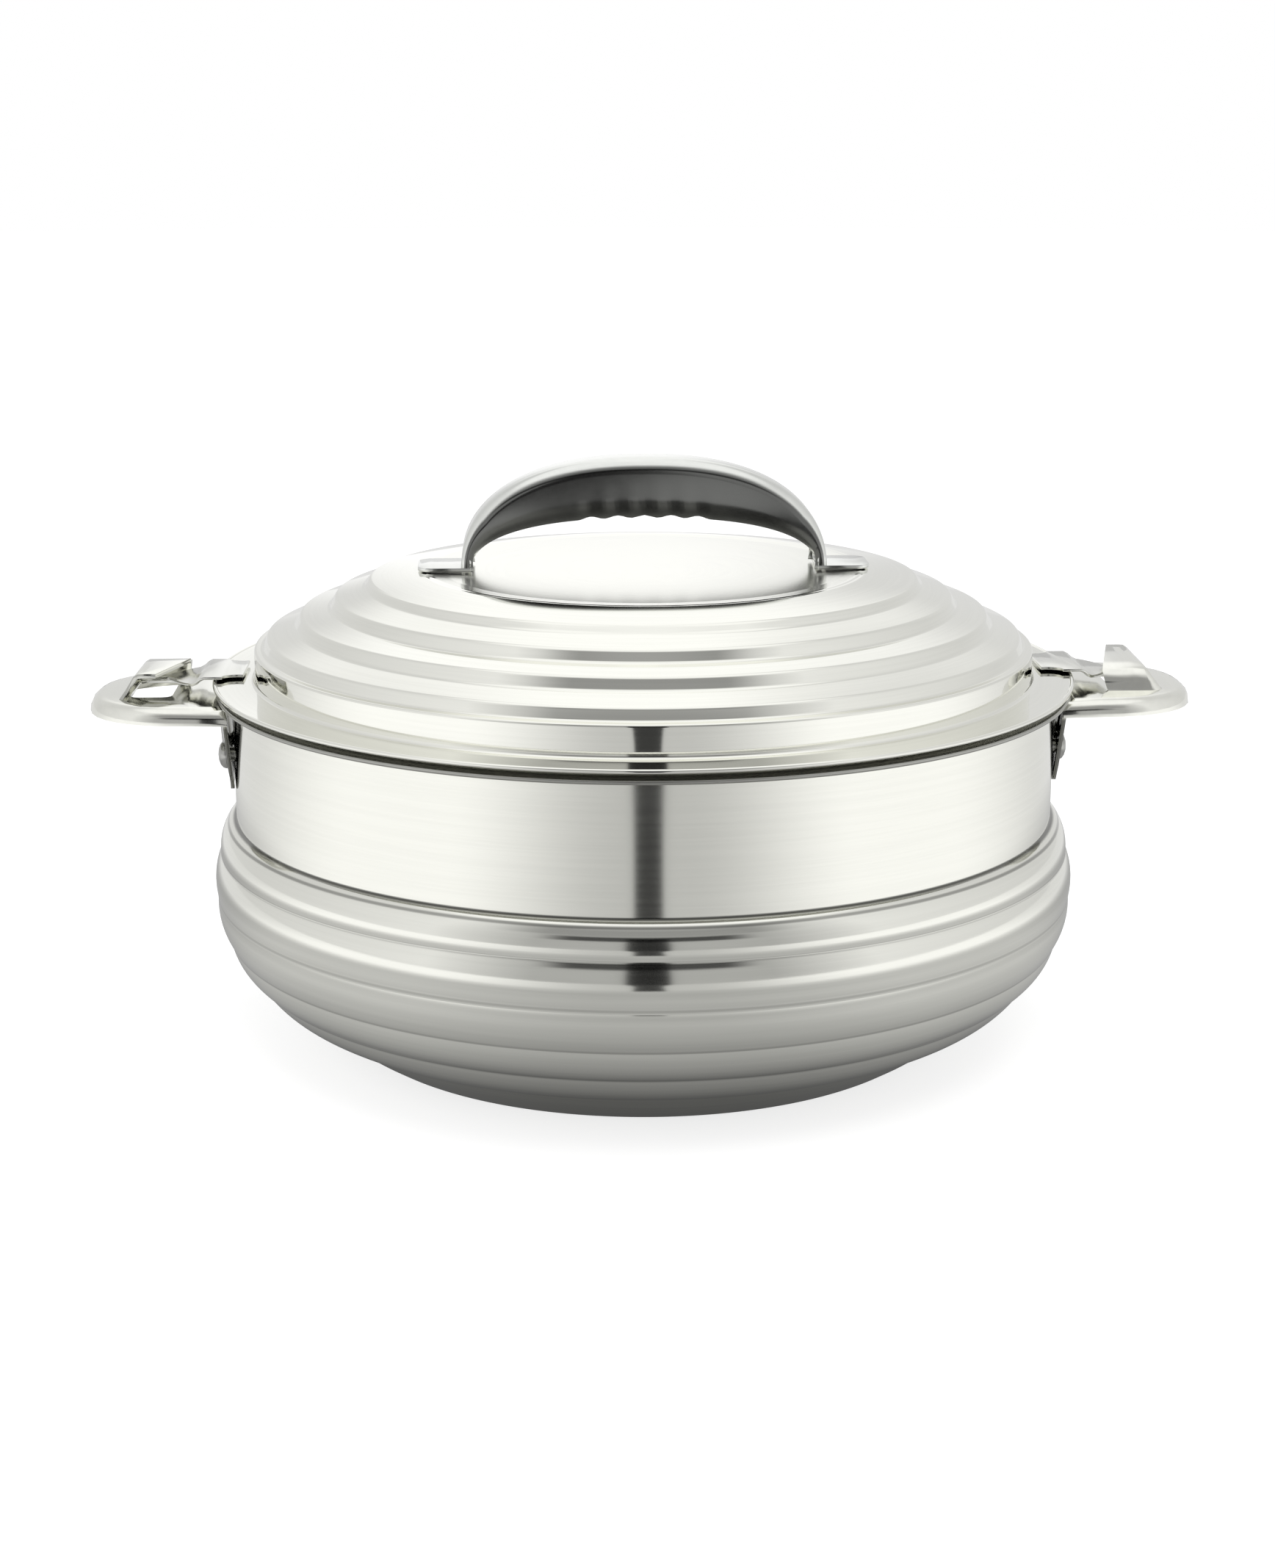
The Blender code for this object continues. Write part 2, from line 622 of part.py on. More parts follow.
def make_lid_handle(group, steel, lid):
    """Arched channel: a crowned top, rounded edges and two deep flanges with finger scallops."""
    seat = LID_BRIM_TOP + LID_RISE + GAP
    base = seat + HANDLE_SHEET / 2
    rows = []
    for outer, inner in arch_stations():
        along = Vector(inner) - Vector(outer)
        depth = along.length
        along.normalize()
        foot_share = (abs(outer[0]) / ARCH_HALF_SPAN) ** 4
        half = ARCH_TOP_HALF_DEPTH + (ARCH_FOOT_HALF_DEPTH - ARCH_TOP_HALF_DEPTH) * foot_share
        curve = min(ARCH_EDGE_CURVE, depth / 3)
        across_section = [
            (half - ARCH_FLANGE_LEAN * depth / ARCH_HEIGHT * 2, depth),
            (half, depth * 0.55),
            (half, curve),
            (half - 0.3 * curve, 0.3 * curve),
            (half - curve, 0.0),
            (0.0, -ARCH_CROWN),
        ]
        full = [(-side, down) for side, down in across_section]
        full += [(side, down) for side, down in reversed(across_section[:-1])]
        row = []
        for side, down in full:
            point = Vector(outer) + along * down
            row.append((point.x, side, base + point.y))
        rows.append(row)
    item = add_object("lid_handle", grid_mesh("lid_handle", rows), group, steel, lid)
    thicken(item, HANDLE_SHEET)
    for side in (1.0, -1.0):
        start = side * (ARCH_INNER_HALF_SPAN + HANDLE_SHEET / 4)
        end = side * (ARCH_HALF_SPAN + ARCH_FOOT_LENGTH)
        outline = [point for point in rounded((
            (start, ARCH_FOOT_HALF_DEPTH - GAP, 0.0),
            (end, ARCH_FOOT_HALF_DEPTH - GAP, ARCH_FOOT_CORNER),
            (end, GAP - ARCH_FOOT_HALF_DEPTH, ARCH_FOOT_CORNER),
            (start, GAP - ARCH_FOOT_HALF_DEPTH, 0.0),
        ))]
        foot = guide(flat_plate("arch_foot", outline, seat, HANDLE_SHEET, CUTTERS))
        boolean(item, foot, "UNION")


def tab_half_width(radius):
    """Half width of the lock tab at a radius: bites near the wall, a round tongue outside."""
    if radius > TAB_BEND_RADIUS:
        share = (radius - TAB_BEND_RADIUS) / (TAB_TIP_RADIUS - TAB_BEND_RADIUS)
        return TAB_HALF_WIDTH * max(TAB_TIP_SHARE, 1.0 - share ** TAB_TIP_POWER)
    away = abs(radius - BITE_CENTRE)
    if away < BITE_RADIUS:
        return TAB_HALF_WIDTH - math.sqrt(BITE_RADIUS ** 2 - away ** 2)
    return TAB_HALF_WIDTH


def make_lock_tabs(group, steel, lid):
    """Two welded tabs on the brim, each with a tongue stepped down past the rim."""
    top = LID_BRIM_TOP + LID_BEAD_RADIUS - LID_BEAD_DROP + GAP + TAB_SHEET
    radii = []
    start = math.acos((BITE_CENTRE - TAB_INNER_RADIUS) / BITE_RADIUS)
    for index in range(BITE_STATIONS + 1):
        turn = start + (math.pi - start) * index / BITE_STATIONS
        radii.append(BITE_CENTRE - BITE_RADIUS * math.cos(turn))
    slope = TAB_TONGUE_RADIUS - TAB_BEND_RADIUS
    radii += [TAB_BEND_RADIUS, TAB_BEND_RADIUS + slope / 3, TAB_TONGUE_RADIUS - slope / 3]
    for index in range(TAB_TIP_STATIONS + 1):
        share = math.sin(math.pi / 2 * index / TAB_TIP_STATIONS)
        radii.append(TAB_TONGUE_RADIUS + (TAB_TIP_RADIUS - TAB_TONGUE_RADIUS) * share)
    rows = []
    for radius in radii:
        fall = smooth_share((radius - TAB_BEND_RADIUS) / slope) * TAB_TONGUE_DROP
        reach = max(0.0, radius - TAB_TONGUE_RADIUS) / (TAB_TIP_RADIUS - TAB_TONGUE_RADIUS)
        height = top - fall - reach * TAB_TIP_DROP
        half = tab_half_width(radius)
        rows.append([(radius, half * share, height) for share in (1.0, 0.0, -1.0)])
    mesh = applied(thicken(add_object("tab_sheet", grid_mesh("tab_sheet", rows), CUTTERS), TAB_SHEET))
    for name, angle in (("lid_lock_tab_right", 0.0), ("lid_lock_tab_left", math.pi)):
        item = add_object(name, mesh if angle == 0.0 else mesh.copy(), group, steel, lid)
        item.rotation_euler = (0.0, 0.0, angle)


def wing_outline():
    """Half outline of the wing from the neck to its tip, as (radius, half width)."""
    neck = NECK_RADIUS + GAP
    points = [(neck, WING_HALF_WIDTH), ((neck + WING_CURVE_START) / 2, WING_HALF_WIDTH)]
    reach = WING_TIP_RADIUS - WING_CURVE_START
    for index in range(WING_STATIONS + 1):
        turn = math.pi / 2 * index / WING_STATIONS
        points.append((WING_CURVE_START + reach * math.sin(turn) ** (2 / WING_POWER),
                       WING_HALF_WIDTH * math.cos(turn) ** (2 / WING_POWER)))
    return points


def root_sag(radius, along):
    """How far the wing's rows bend with the neck at this radius."""
    neck = NECK_RADIUS + GAP
    share = max(0.0, (WING_CURVE_START - radius) / (WING_CURVE_START - neck))
    return share * (neck - math.sqrt(neck ** 2 - along ** 2))


def wing_rows():
    outline = wing_outline()
    rows = []
    for index, (radius, half) in enumerate(outline):
        before = Vector(outline[max(index - 1, 0)])
        after = Vector(outline[min(index + 1, len(outline) - 1)])
        along = (after - before).normalized()
        inwards = Vector((along.y, -along.x))
        if index < 3:
            inwards = Vector((0.0, -1.0))
        if index == len(outline) - 1:
            inwards = Vector((-1.0, 0.0))
        edge = []
        for inset_share, depth_share in WING_EDGE_SHARES:
            place = Vector((radius, half)) + inwards * inset_share * WING_SKIRT_DEPTH
            width = max(0.0, place.y)
            height = WING_TOP - depth_share * WING_SKIRT_DEPTH
            edge.append((place.x - root_sag(place.x, width), width, height))
        row = list(edge)
        row.append((edge[-1][0] + root_sag(edge[-1][0], edge[-1][1]), 0.0, WING_TOP))
        row += [(across, -width, height) for across, width, height in reversed(edge)]
        rows.append(row)
    return rows


def neck_strip(name, inner_radius, half_widths, heights, columns):
    """A sheet curved round the neck, its faces pointing outwards."""
    rows = []
    for half, height in zip(half_widths, heights):
        row = []
        for index in range(columns + 1):
            angle = math.asin(half / inner_radius) * (2 * index / columns - 1)
            row.append((inner_radius * math.cos(angle), inner_radius * math.sin(angle), height))
        rows.append(row)
    return grid_mesh(name, rows)


def flange_widths():
    """Half widths and heights of the handle's neck flange, bottom to top."""
    widths = []
    heights = []
    for index in range(5):
        turn = math.pi / 2 * index / 4
        widths.append(FLANGE_BOTTOM_HALF_WIDTH - FLANGE_CORNER * (1.0 - math.sin(turn)))
        heights.append(FLANGE_BOTTOM + FLANGE_CORNER * (1.0 - math.cos(turn)))
    widths.append(FLANGE_TOP_HALF_WIDTH)
    heights.append(WING_TOP - HANDLE_SHEET / 2)
    return widths, heights


def hood_rows():
    """Raised hood, open towards the lid and at its mouth, closed at its other two sides."""
    rows = []
    for along_place, along_share in reversed(HOOD_ALONG_SHARES):
        along = HOOD_MOUTH - (HOOD_MOUTH + HOOD_CLOSED_END) * along_place
        height = (HOOD_HEIGHT + HOOD_RISE * along / HOOD_MOUTH + HOOD_SINK) * along_share
        row = []
        for across_place, across_share in HOOD_ACROSS_SHARES:
            radius = HOOD_INNER_RADIUS + (HOOD_OUTER_RADIUS - HOOD_INNER_RADIUS) * across_place
            row.append((radius, along, WING_TOP - HOOD_SINK + height * across_share))
        rows.append(row)
    return rows


def rivet_angles():
    turn = math.asin(RIVET_SPACING / 2 / NECK_RADIUS)
    return (-turn, turn)


def rivet_hole(angle):
    """Radial cutter with a gap round the rivet's shank."""
    cutter = guide(rod("rivet_hole", RIVET_SHANK_RADIUS + GAP, 4 * OVERRUN, CUTTERS))
    cutter.rotation_euler = (0.0, math.pi / 2, angle)
    cutter.location = (NECK_RADIUS * math.cos(angle), NECK_RADIUS * math.sin(angle), RIVET_HEIGHT)
    return cutter


def make_side_handles(group, steel):
    wing = add_object("wing", grid_mesh("wing", wing_rows()), CUTTERS)
    thicken(wing, HANDLE_SHEET)
    slot_outline = rounded((
        (SLOT_INNER_RADIUS, 0.0, 0.0),
        (SLOT_INNER_RADIUS, -SLOT_HALF_WIDTH, SLOT_CORNER),
        (SLOT_OUTER_RADIUS, -SLOT_HALF_WIDTH, SLOT_CORNER),
        (SLOT_OUTER_RADIUS, SLOT_HALF_WIDTH, SLOT_CORNER),
        (SLOT_INNER_RADIUS, SLOT_HALF_WIDTH, SLOT_CORNER),
        (SLOT_INNER_RADIUS, 0.0, 0.0),
    ))[:-1]
    slot = flat_plate("slot", slot_outline, WING_TOP - OVERRUN, 2 * OVERRUN, CUTTERS)
    boolean(wing, guide(slot), "DIFFERENCE")
    widths, heights = flange_widths()
    strip = neck_strip("flange", NECK_RADIUS + 1.2 * GAP + HANDLE_SHEET, widths, heights, FLANGE_COLUMNS)
    flange = thicken(add_object("flange", strip, CUTTERS), HANDLE_SHEET)
    boolean(wing, guide(flange), "UNION")
    hood = thicken(add_object("hood", grid_mesh("hood", hood_rows()), CUTTERS), HANDLE_SHEET)
    boolean(wing, guide(hood), "UNION")
    for angle in rivet_angles():
        boolean(wing, rivet_hole(angle), "DIFFERENCE")
    mesh = applied(wing)
    for name, angle in (("side_handle_right", 0.0), ("side_handle_left", math.pi)):
        item = add_object(name, mesh if angle == 0.0 else mesh.copy(), group, steel)
        item.rotation_euler = (0.0, 0.0, angle)


def make_rivets(group, steel):
    """Rivets through each flange and the shell, each peened over a washer inside."""
    flange_face = NECK_RADIUS + 1.2 * GAP + HANDLE_SHEET
    flat_share = math.cos(math.pi / TURNED_STEPS)
    washer_face = (NECK_RADIUS - SHELL_SHEET) * flat_share - 1.5 * GAP
    head = flange_face + GAP
    tail = washer_face - WASHER_SHEET - GAP
    hole_radius = RIVET_SHANK_RADIUS + GAP
    washer = [
        (WASHER_RADIUS, washer_face),
        (WASHER_RADIUS, washer_face - WASHER_SHEET),
        (hole_radius, washer_face - WASHER_SHEET),
        (hole_radius, washer_face),
    ]
    dome = RIVET_HEAD_HEIGHT - RIVET_HEAD_EDGE
    section = [(0.0, head + RIVET_HEAD_HEIGHT)]
    for index in range(1, 5):
        turn = math.pi / 2 * index / 4
        section.append((RIVET_HEAD_RADIUS * math.sin(turn), head + RIVET_HEAD_EDGE + dome * math.cos(turn)))
    section += [
        (RIVET_HEAD_RADIUS, head),
        (RIVET_SHANK_RADIUS, head),
        (RIVET_SHANK_RADIUS, tail),
        (RIVET_TAIL_RADIUS, tail),
        (RIVET_TAIL_RADIUS - GAP, tail - RIVET_TAIL_HEIGHT),
        (0.0, tail - RIVET_TAIL_HEIGHT),
    ]
    places = {"front": -1.0, "back": 1.0}
    for side_name, side in (("right", 0.0), ("left", math.pi)):
        for place_name, sign in places.items():
            towards = sign if side == 0.0 else -sign
            angle = side + towards * rivet_angles()[1]
            for kind, shape in (("handle_rivet_", section), ("rivet_washer_", washer)):
                name = kind + side_name + "_" + place_name
                piece = turned(name, shape, group, steel, steps=FINE_STEPS - 4)
                piece.rotation_euler = (0.0, math.pi / 2, angle)
                piece.location = (0.0, 0.0, RIVET_HEIGHT)


def shade_round_pieces(group):
    for item in group.objects:
        if item.type == "MESH":
            item.data.shade_smooth()
            item.data.set_sharp_from_angle(angle=math.radians(30))


clear_scene()
CASSEROLE = collection("chapati_casserole")
CUTTERS = collection("cutters")

POLISHED = finish_material("polished_steel", STEEL_COLOUR, 0.12, 1.0)
BRUSHED = finish_material("brushed_steel", BRUSHED_COLOUR, 0.28, 1.0)
FOAM = finish_material("insulating_foam", FOAM_COLOUR, 0.9, 0.0)
BLACK = finish_material("black_plastic", PLUG_COLOUR, 0.45, 0.0)

LID_AXIS = bpy.data.objects.new("lid_axis", None)
LID_AXIS.location = (0.0, 0.0, LID_BRIM_TOP)
CASSEROLE.objects.link(LID_AXIS)

make_outer_shell(CASSEROLE, BRUSHED)
make_inner_bowl(CASSEROLE, BRUSHED)
make_bowl_insulation(CASSEROLE, FOAM)
make_base(CASSEROLE, BRUSHED, BLACK)
make_side_handles(CASSEROLE, POLISHED)
make_rivets(CASSEROLE, POLISHED)
make_lid_shell(CASSEROLE, POLISHED, LID_AXIS)
make_lid_pan(CASSEROLE, BRUSHED, FOAM, LID_AXIS)
make_lid_handle(CASSEROLE, POLISHED, LID_AXIS)
make_lock_tabs(CASSEROLE, POLISHED, LID_AXIS)
shade_round_pieces(CASSEROLE)
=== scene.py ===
"""Studio picture of an insulated chapati casserole: polished lid, brushed pot, twist-lock handles."""
import math

import bmesh
import bpy
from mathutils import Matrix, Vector


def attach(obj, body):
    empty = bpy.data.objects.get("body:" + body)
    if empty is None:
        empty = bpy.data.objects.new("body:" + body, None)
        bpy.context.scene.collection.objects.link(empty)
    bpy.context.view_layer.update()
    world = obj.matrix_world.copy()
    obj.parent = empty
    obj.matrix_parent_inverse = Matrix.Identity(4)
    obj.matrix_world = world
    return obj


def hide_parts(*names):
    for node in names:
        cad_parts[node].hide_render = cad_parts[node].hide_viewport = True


MM = 0.001
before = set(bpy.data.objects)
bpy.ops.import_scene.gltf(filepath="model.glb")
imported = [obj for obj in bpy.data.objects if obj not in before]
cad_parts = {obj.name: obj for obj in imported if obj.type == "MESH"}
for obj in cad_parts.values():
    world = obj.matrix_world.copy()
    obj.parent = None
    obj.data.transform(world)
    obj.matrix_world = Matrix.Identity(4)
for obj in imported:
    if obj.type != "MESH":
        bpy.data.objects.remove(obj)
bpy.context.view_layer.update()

# Camera, from the rims and creases of the photograph
LENS = 61.6
AIM_HEIGHT = 84.7 * MM
DISTANCE = 0.890
AZIMUTH = -2.65
ELEVATION = 13.94
SHIFT = (-0.0037, -0.0082)
SENSOR_WIDTH = 36.0

# Turned pieces: sides, and how far each kind of bend reaches
FINE_SIDES = 224
PLAIN_SIDES = 96
MERGE = 0.002 * MM
CORNER_STEPS = 4
CORNER_SHARE = 0.46
CURVE_STEPS = 9
SHEET_BEND = 0.5 * MM
LID_BEND = 0.8 * MM
RING_BEND = 1.2 * MM
CREASE_BEND = 0.4 * MM

# Edges of folded pieces
SHARP_TURN = math.radians(38)
FLAT_TURN = math.radians(0.2)
EDGE_EASE = 0.22 * MM
EDGE_STEPS = 2

# Belly: radius and height of each corner and the outward bulge of the ring above it, top to bottom
BELLY_RINGS = (
    (133.8 * MM, 74.5 * MM, 0.0 * MM),
    (136.5 * MM, 72.7 * MM, 0.3 * MM),
    (139.1 * MM, 63.1 * MM, 1.0 * MM),
    (140.5 * MM, 49.0 * MM, 1.3 * MM),
    (137.3 * MM, 35.4 * MM, 1.3 * MM),
    (130.0 * MM, 24.2 * MM, 1.4 * MM),
    (113.0 * MM, 12.3 * MM, 2.3 * MM),
)
# How much colour each crease of the belly keeps under painted shade, top to bottom, and the half width and
# edge of those shaded bands
CREASE_SHADE_SHARES = (0.2, 0.45, 0.75, 0.75, 0.7, 0.7, 0.7)
CREASE_HALF = 0.15 * MM
CREASE_EDGE = 0.5 * MM

# Lid's disc: a shallow dish inside a fine groove, both in the sheet's outer part
DISC_RADIUS = 69.0 * MM
DISC_DISH = 1.7 * MM
LID_SHEET = 0.85 * MM
GROOVE_SHARE = 0.12

# Lid handle: an arched channel with rounded shoulders, finger scallops and two flat feet
ARCH_HALF_SPAN = 59.0 * MM
ARCH_HEIGHT = 36.0 * MM
ARCH_POWER = 2.3
ARCH_INNER_HALF_SPAN = 55.8 * MM
ARCH_INNER_HEIGHT = 16.8 * MM
ARCH_INNER_POWER = 2.4
ARCH_HALF_DEPTH = 8.8 * MM
ARCH_FOOT_HALF_DEPTH = 10.2 * MM
ARCH_SHOULDER = 5.2 * MM
ARCH_LEAN = 0.6 * MM
ARCH_SHEET = 1.2 * MM
ARCH_STATIONS = 150
ARCH_FOOT_LENGTH = 14.0 * MM
ARCH_FOOT_CORNER = 5.0 * MM
SCALLOP_REACH = 21.5 * MM
SCALLOP_PITCH = 8.6 * MM
SCALLOP_DEPTH = 0.9 * MM
# Height up to which the feet stay clear of the flanks' painted shade, and its fade
ARCH_FOOT_TOP = 154.0 * MM
ARCH_FOOT_FADE = 2.0 * MM

# Side handles: the hood's height, slope and slanting inner edge, and the neck flange
WING_TOP = 114.4 * MM
HOOD_RISE = 5.0 * MM
HOOD_LIFT_SHARE = 1.2
HOOD_INNER = 150.4 * MM
HOOD_LENGTH = 14.5 * MM
HOOD_HALF_WIDTH = 15.2 * MM
HOOD_CUT = 6.0 * MM
HOOD_OVERLAP = 1.5 * MM
HOOD_SLOPE = 2.3 * MM
FLANGE_FOOT = 85.0 * MM
FLANGE_SPAN = 20.0 * MM
FLANGE_STAND = 3.0 * MM
FLANGE_RADIUS = 135.5 * MM
FLANGE_FADE = 9.0 * MM
TAB_WIDTH_SHARE = 0.82

# Steel: how much rougher the lid's disc is, and how its lines and clouds show
SATIN_RADIUS = 70.0 * MM
SATIN_EDGE = 1.0 * MM
SATIN_LIFT = 0.14
LINE_TONE_SHARE = 0.97
LINE_RELIEF = 0.02 * MM
CLOUD_SHARE = 0.5
# How far sideways the arch's flanks face before they get painted shade, by the normal's Y
FLANK_TURN = (0.84, 0.94)

# Dark upright in front of the pot: turn from the front and half width in degrees
UPRIGHT_TURN = -1.4
UPRIGHT_HALF = 5.2
UPRIGHT_EDGE = 0.9
UPRIGHT_TOP = (0.745, 0.765)
UPRIGHT_DARK = 0.95
# Darker patches in front: half width and edge, height with its half and edge, and how much darker
FRONT_PATCHES = (
    (20.0, 12.0, 0.735, 0.03, 0.025, 0.85),
    (30.0, 20.0, 0.84, 0.035, 0.03, 0.3),
)
# How bright the room looks to the steel, by turn from the front (1 is straight behind)
WALL_TURN_SHARES = ((0.0, 0.44), (0.17, 0.44), (0.33, 0.86), (0.5, 0.78), (0.7, 0.68), (0.9, 0.72))
BACK_LEVEL = 1.08
DAYLIGHT_LEVEL = 0.70
# Where the bright back wall starts, in degrees, near the level and higher up
BEHIND_LOW = (169.0, 177.0)
BEHIND_HIGH = (148.0, 172.0)
BEHIND_HEIGHT = (0.62, 0.75)
CEILING_HEIGHT = (0.90, 0.96)
CEILING_SHARE = 0.85

# How bright the floor looks to the steel: straight ahead, how much more at the sides, and at the back
FLOOR_RADIUS = 6.0
FLOOR_FRONT_LEVEL = 0.56
FLOOR_SIDE_LIFT = 0.5
FLOOR_SIDE_TURN = (7.0, 52.0)
FLOOR_SIDE_AWAY = (0.24, 0.48, 0.3, 1.0)
FLOOR_BACK_TURN = (78.0, 125.0)
FLOOR_BACK_SHARE = 0.72
# The same by distance in metres, with painted shade dimming it near the pot
FLOOR_NEAR_SHARES = (
    (0.085, 0.09),
    (0.11, 0.2),
    (0.125, 0.36),
    (0.14, 0.52),
    (0.165, 0.68),
    (0.22, 0.84),
    (0.3, 0.74),
    (0.45, 1.0),
)
# The upright's image on the floor: half width in degrees by distance, its edge, start and darkness
FLOOR_UPRIGHT_HALF = (0.5, 3.0, 3.0, 4.9)
FLOOR_UPRIGHT_EDGE = 0.6
FLOOR_UPRIGHT_START = (0.38, 0.42)
FLOOR_UPRIGHT_DARK = 0.92
FLOOR_TONE = 0.42
FLOOR_GLOW = 0.76

# Soft lamps: name, place, size and power
LAMPS = (
    ("overhead", (0.2, -0.3, 1.6), 1.6, 14.0),
    ("left", (-1.3, -0.9, 1.0), 1.2, 5.0),
)


def placed(name, data):
    """A new object in the scene."""
    item = bpy.data.objects.new(name, data)
    bpy.context.scene.collection.objects.link(item)
    return item


def place_camera():
    azimuth = math.radians(AZIMUTH)
    elevation = math.radians(ELEVATION)
    back = Vector((
        math.sin(azimuth) * math.cos(elevation),
        -math.cos(azimuth) * math.cos(elevation),
        math.sin(elevation),
    ))
    camera = placed("camera", bpy.data.cameras.new("camera"))
    camera.location = Vector((0.0, 0.0, AIM_HEIGHT)) + back * DISTANCE
    camera.rotation_mode = "QUATERNION"
    camera.rotation_quaternion = (-back).to_track_quat("-Z", "Y")
    camera.data.lens = LENS
    camera.data.sensor_width = SENSOR_WIDTH
    camera.data.shift_x = SHIFT[0]
    camera.data.shift_y = SHIFT[1]
    bpy.context.scene.camera = camera


class Nodes:
    """Short calls for adding and linking the nodes of one tree."""

    def __init__(self, tree):
        self.tree = tree

    def add(self, kind, inputs=(), **settings):
        node = self.tree.nodes.new(kind)
        for key, value in settings.items():
            setattr(node, key, value)
        self.feed(node, inputs)
        return node

    def feed(self, node, inputs):
        """Link a node's inputs, or set them where a plain value is given."""
        for key, value in dict(inputs).items():
            if isinstance(value, bpy.types.NodeSocket):
                self.tree.links.new(value, node.inputs[key])
            else:
                node.inputs[key].default_value = value

    def math(self, operation, first, second=0.0, third=0.0, clamp=False):
        node = self.add("ShaderNodeMath", {0: first, 1: second, 2: third}, operation=operation)
        node.use_clamp = clamp
        return node.outputs[0]

    def fade(self, value, start, end, low=0.0, high=1.0):
        node = self.add("ShaderNodeMapRange", {
            "Value": value, "From Min": start, "From Max": end, "To Min": low, "To Max": high,
        }, interpolation_type="SMOOTHSTEP")
        return node.outputs["Result"]

    def ramp(self, value, stops):
        """Colour ramp through (place, grey) stops."""
        node = self.add("ShaderNodeValToRGB", {"Fac": value})
        elements = node.color_ramp.elements
        while len(elements) < len(stops):
            elements.new(0.5)
        for element, (place, grey) in zip(elements, stops):
            element.position = place
            element.color = (grey, grey, grey, 1.0)
        return node.outputs["Color"]


def turned_tree():
    """Geometry nodes: turn a section, whose points run across X and up Z, about the Z axis."""
    tree = bpy.data.node_groups.new("turned_sheet", "GeometryNodeTree")
    tree.interface.new_socket("Section", in_out="INPUT", socket_type="NodeSocketGeometry")
    sides = tree.interface.new_socket("Sides", in_out="INPUT", socket_type="NodeSocketInt")
    sides.default_value = PLAIN_SIDES
    closed = tree.interface.new_socket("Closing Points", in_out="INPUT", socket_type="NodeSocketInt")
    closed.default_value = 1
    finish = tree.interface.new_socket("Finish", in_out="INPUT", socket_type="NodeSocketMaterial")
    tree.interface.new_socket("Turned", in_out="OUTPUT", socket_type="NodeSocketGeometry")
    n = Nodes(tree)
    given = n.add("NodeGroupInput")
    size = n.add("GeometryNodeAttributeDomainSize", {"Geometry": given.outputs["Section"]})
    count = size.outputs["Point Count"]
    rows = n.math("ADD", count, given.outputs["Closing Points"])
    columns = n.math("ADD", given.outputs["Sides"], 1.0)
    grid = n.add("GeometryNodeMeshGrid", {"Vertices X": columns, "Vertices Y": rows})
    index = n.add("GeometryNodeInputIndex").outputs[0]
    station = n.math("FLOOR", n.math("DIVIDE", n.math("ADD", index, 0.5), rows))
    along = n.math("MODULO", index, rows)
    point = n.math("MODULO", along, count)
    sampled = n.add("GeometryNodeSampleIndex", {
        "Geometry": given.outputs["Section"],
        "Value": n.add("GeometryNodeInputPosition").outputs[0],
        "Index": point,
    }, data_type="FLOAT_VECTOR")
    place = n.add("ShaderNodeSeparateXYZ", {0: sampled.outputs["Value"]})
    turn = n.math("MULTIPLY", n.math("DIVIDE", station, given.outputs["Sides"]), math.tau)
    across = n.math("MULTIPLY", place.outputs["X"], n.math("COSINE", turn))
    along_y = n.math("MULTIPLY", place.outputs["X"], n.math("SINE", turn))
    target = n.add("ShaderNodeCombineXYZ", {"X": across, "Y": along_y, "Z": place.outputs["Z"]})
    moved = n.add("GeometryNodeSetPosition", {
        "Geometry": grid.outputs["Mesh"], "Position": target.outputs[0],
    })
    joined = n.add("GeometryNodeMergeByDistance", {"Geometry": moved.outputs[0], "Distance": MERGE})
    real = n.add("GeometryNodeRealizeInstances", {"Geometry": joined.outputs[0]})
    painted = n.add("GeometryNodeSetMaterial", {
        "Geometry": real.outputs[0], "Material": given.outputs["Finish"],
    })
    n.add("NodeGroupOutput", {"Turned": painted.outputs[0]})
    return tree, {"sides": sides.identifier, "closed": closed.identifier, "finish": finish.identifier}


def section_of(node):
    """Section of a turned CAD node in its quarter-turn plane, in order, as (across, up) points."""
    mesh = bmesh.new()
    mesh.from_mesh(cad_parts[node].data)
    bmesh.ops.remove_doubles(mesh, verts=mesh.verts, dist=MERGE)
    flat = {vert for vert in mesh.verts if abs(vert.co.x) < MERGE and vert.co.y > -MERGE}
    linked = {}
    for vert in flat:
        linked[vert] = [edge.other_vert(vert) for edge in vert.link_edges if edge.other_vert(vert) in flat]
    ends = [vert for vert in flat if len(linked[vert]) == 1]
    current = min(ends or flat, key=lambda vert: vert.co.z)
    order = []
    while current is not None:
        order.append(current)
        current = next((vert for vert in linked[current] if vert not in order), None)
    points = [(max(0.0, vert.co.y), vert.co.z) for vert in order]
    if ends and points[0][0] > MERGE:
        points = [(0.0, points[0][1])] + points + [(0.0, points[-1][1])]
    mesh.free()
    return points


def softened(points, reach_at):
    """The section with each corner turned into a short curve; the ends on the axis stay."""
    closed = points[0][0] > MERGE
    count = len(points)
    smooth = []
    for index, point in enumerate(points):
        if not closed and index in (0, count - 1):
            smooth.append(point)
            continue
        corner = Vector(point)
        before = Vector(points[index - 1]) - corner
        after = Vector(points[(index + 1) % count]) - corner
        reach = min(CORNER_SHARE * before.length, CORNER_SHARE * after.length, reach_at(point))
        first = corner + before.normalized() * reach
        last = corner + after.normalized() * reach
        for step in range(CORNER_STEPS + 1):
            share = step / CORNER_STEPS
            low = first.lerp(corner, share)
            high = corner.lerp(last, share)
            smooth.append(tuple(low.lerp(high, share)))
    return smooth


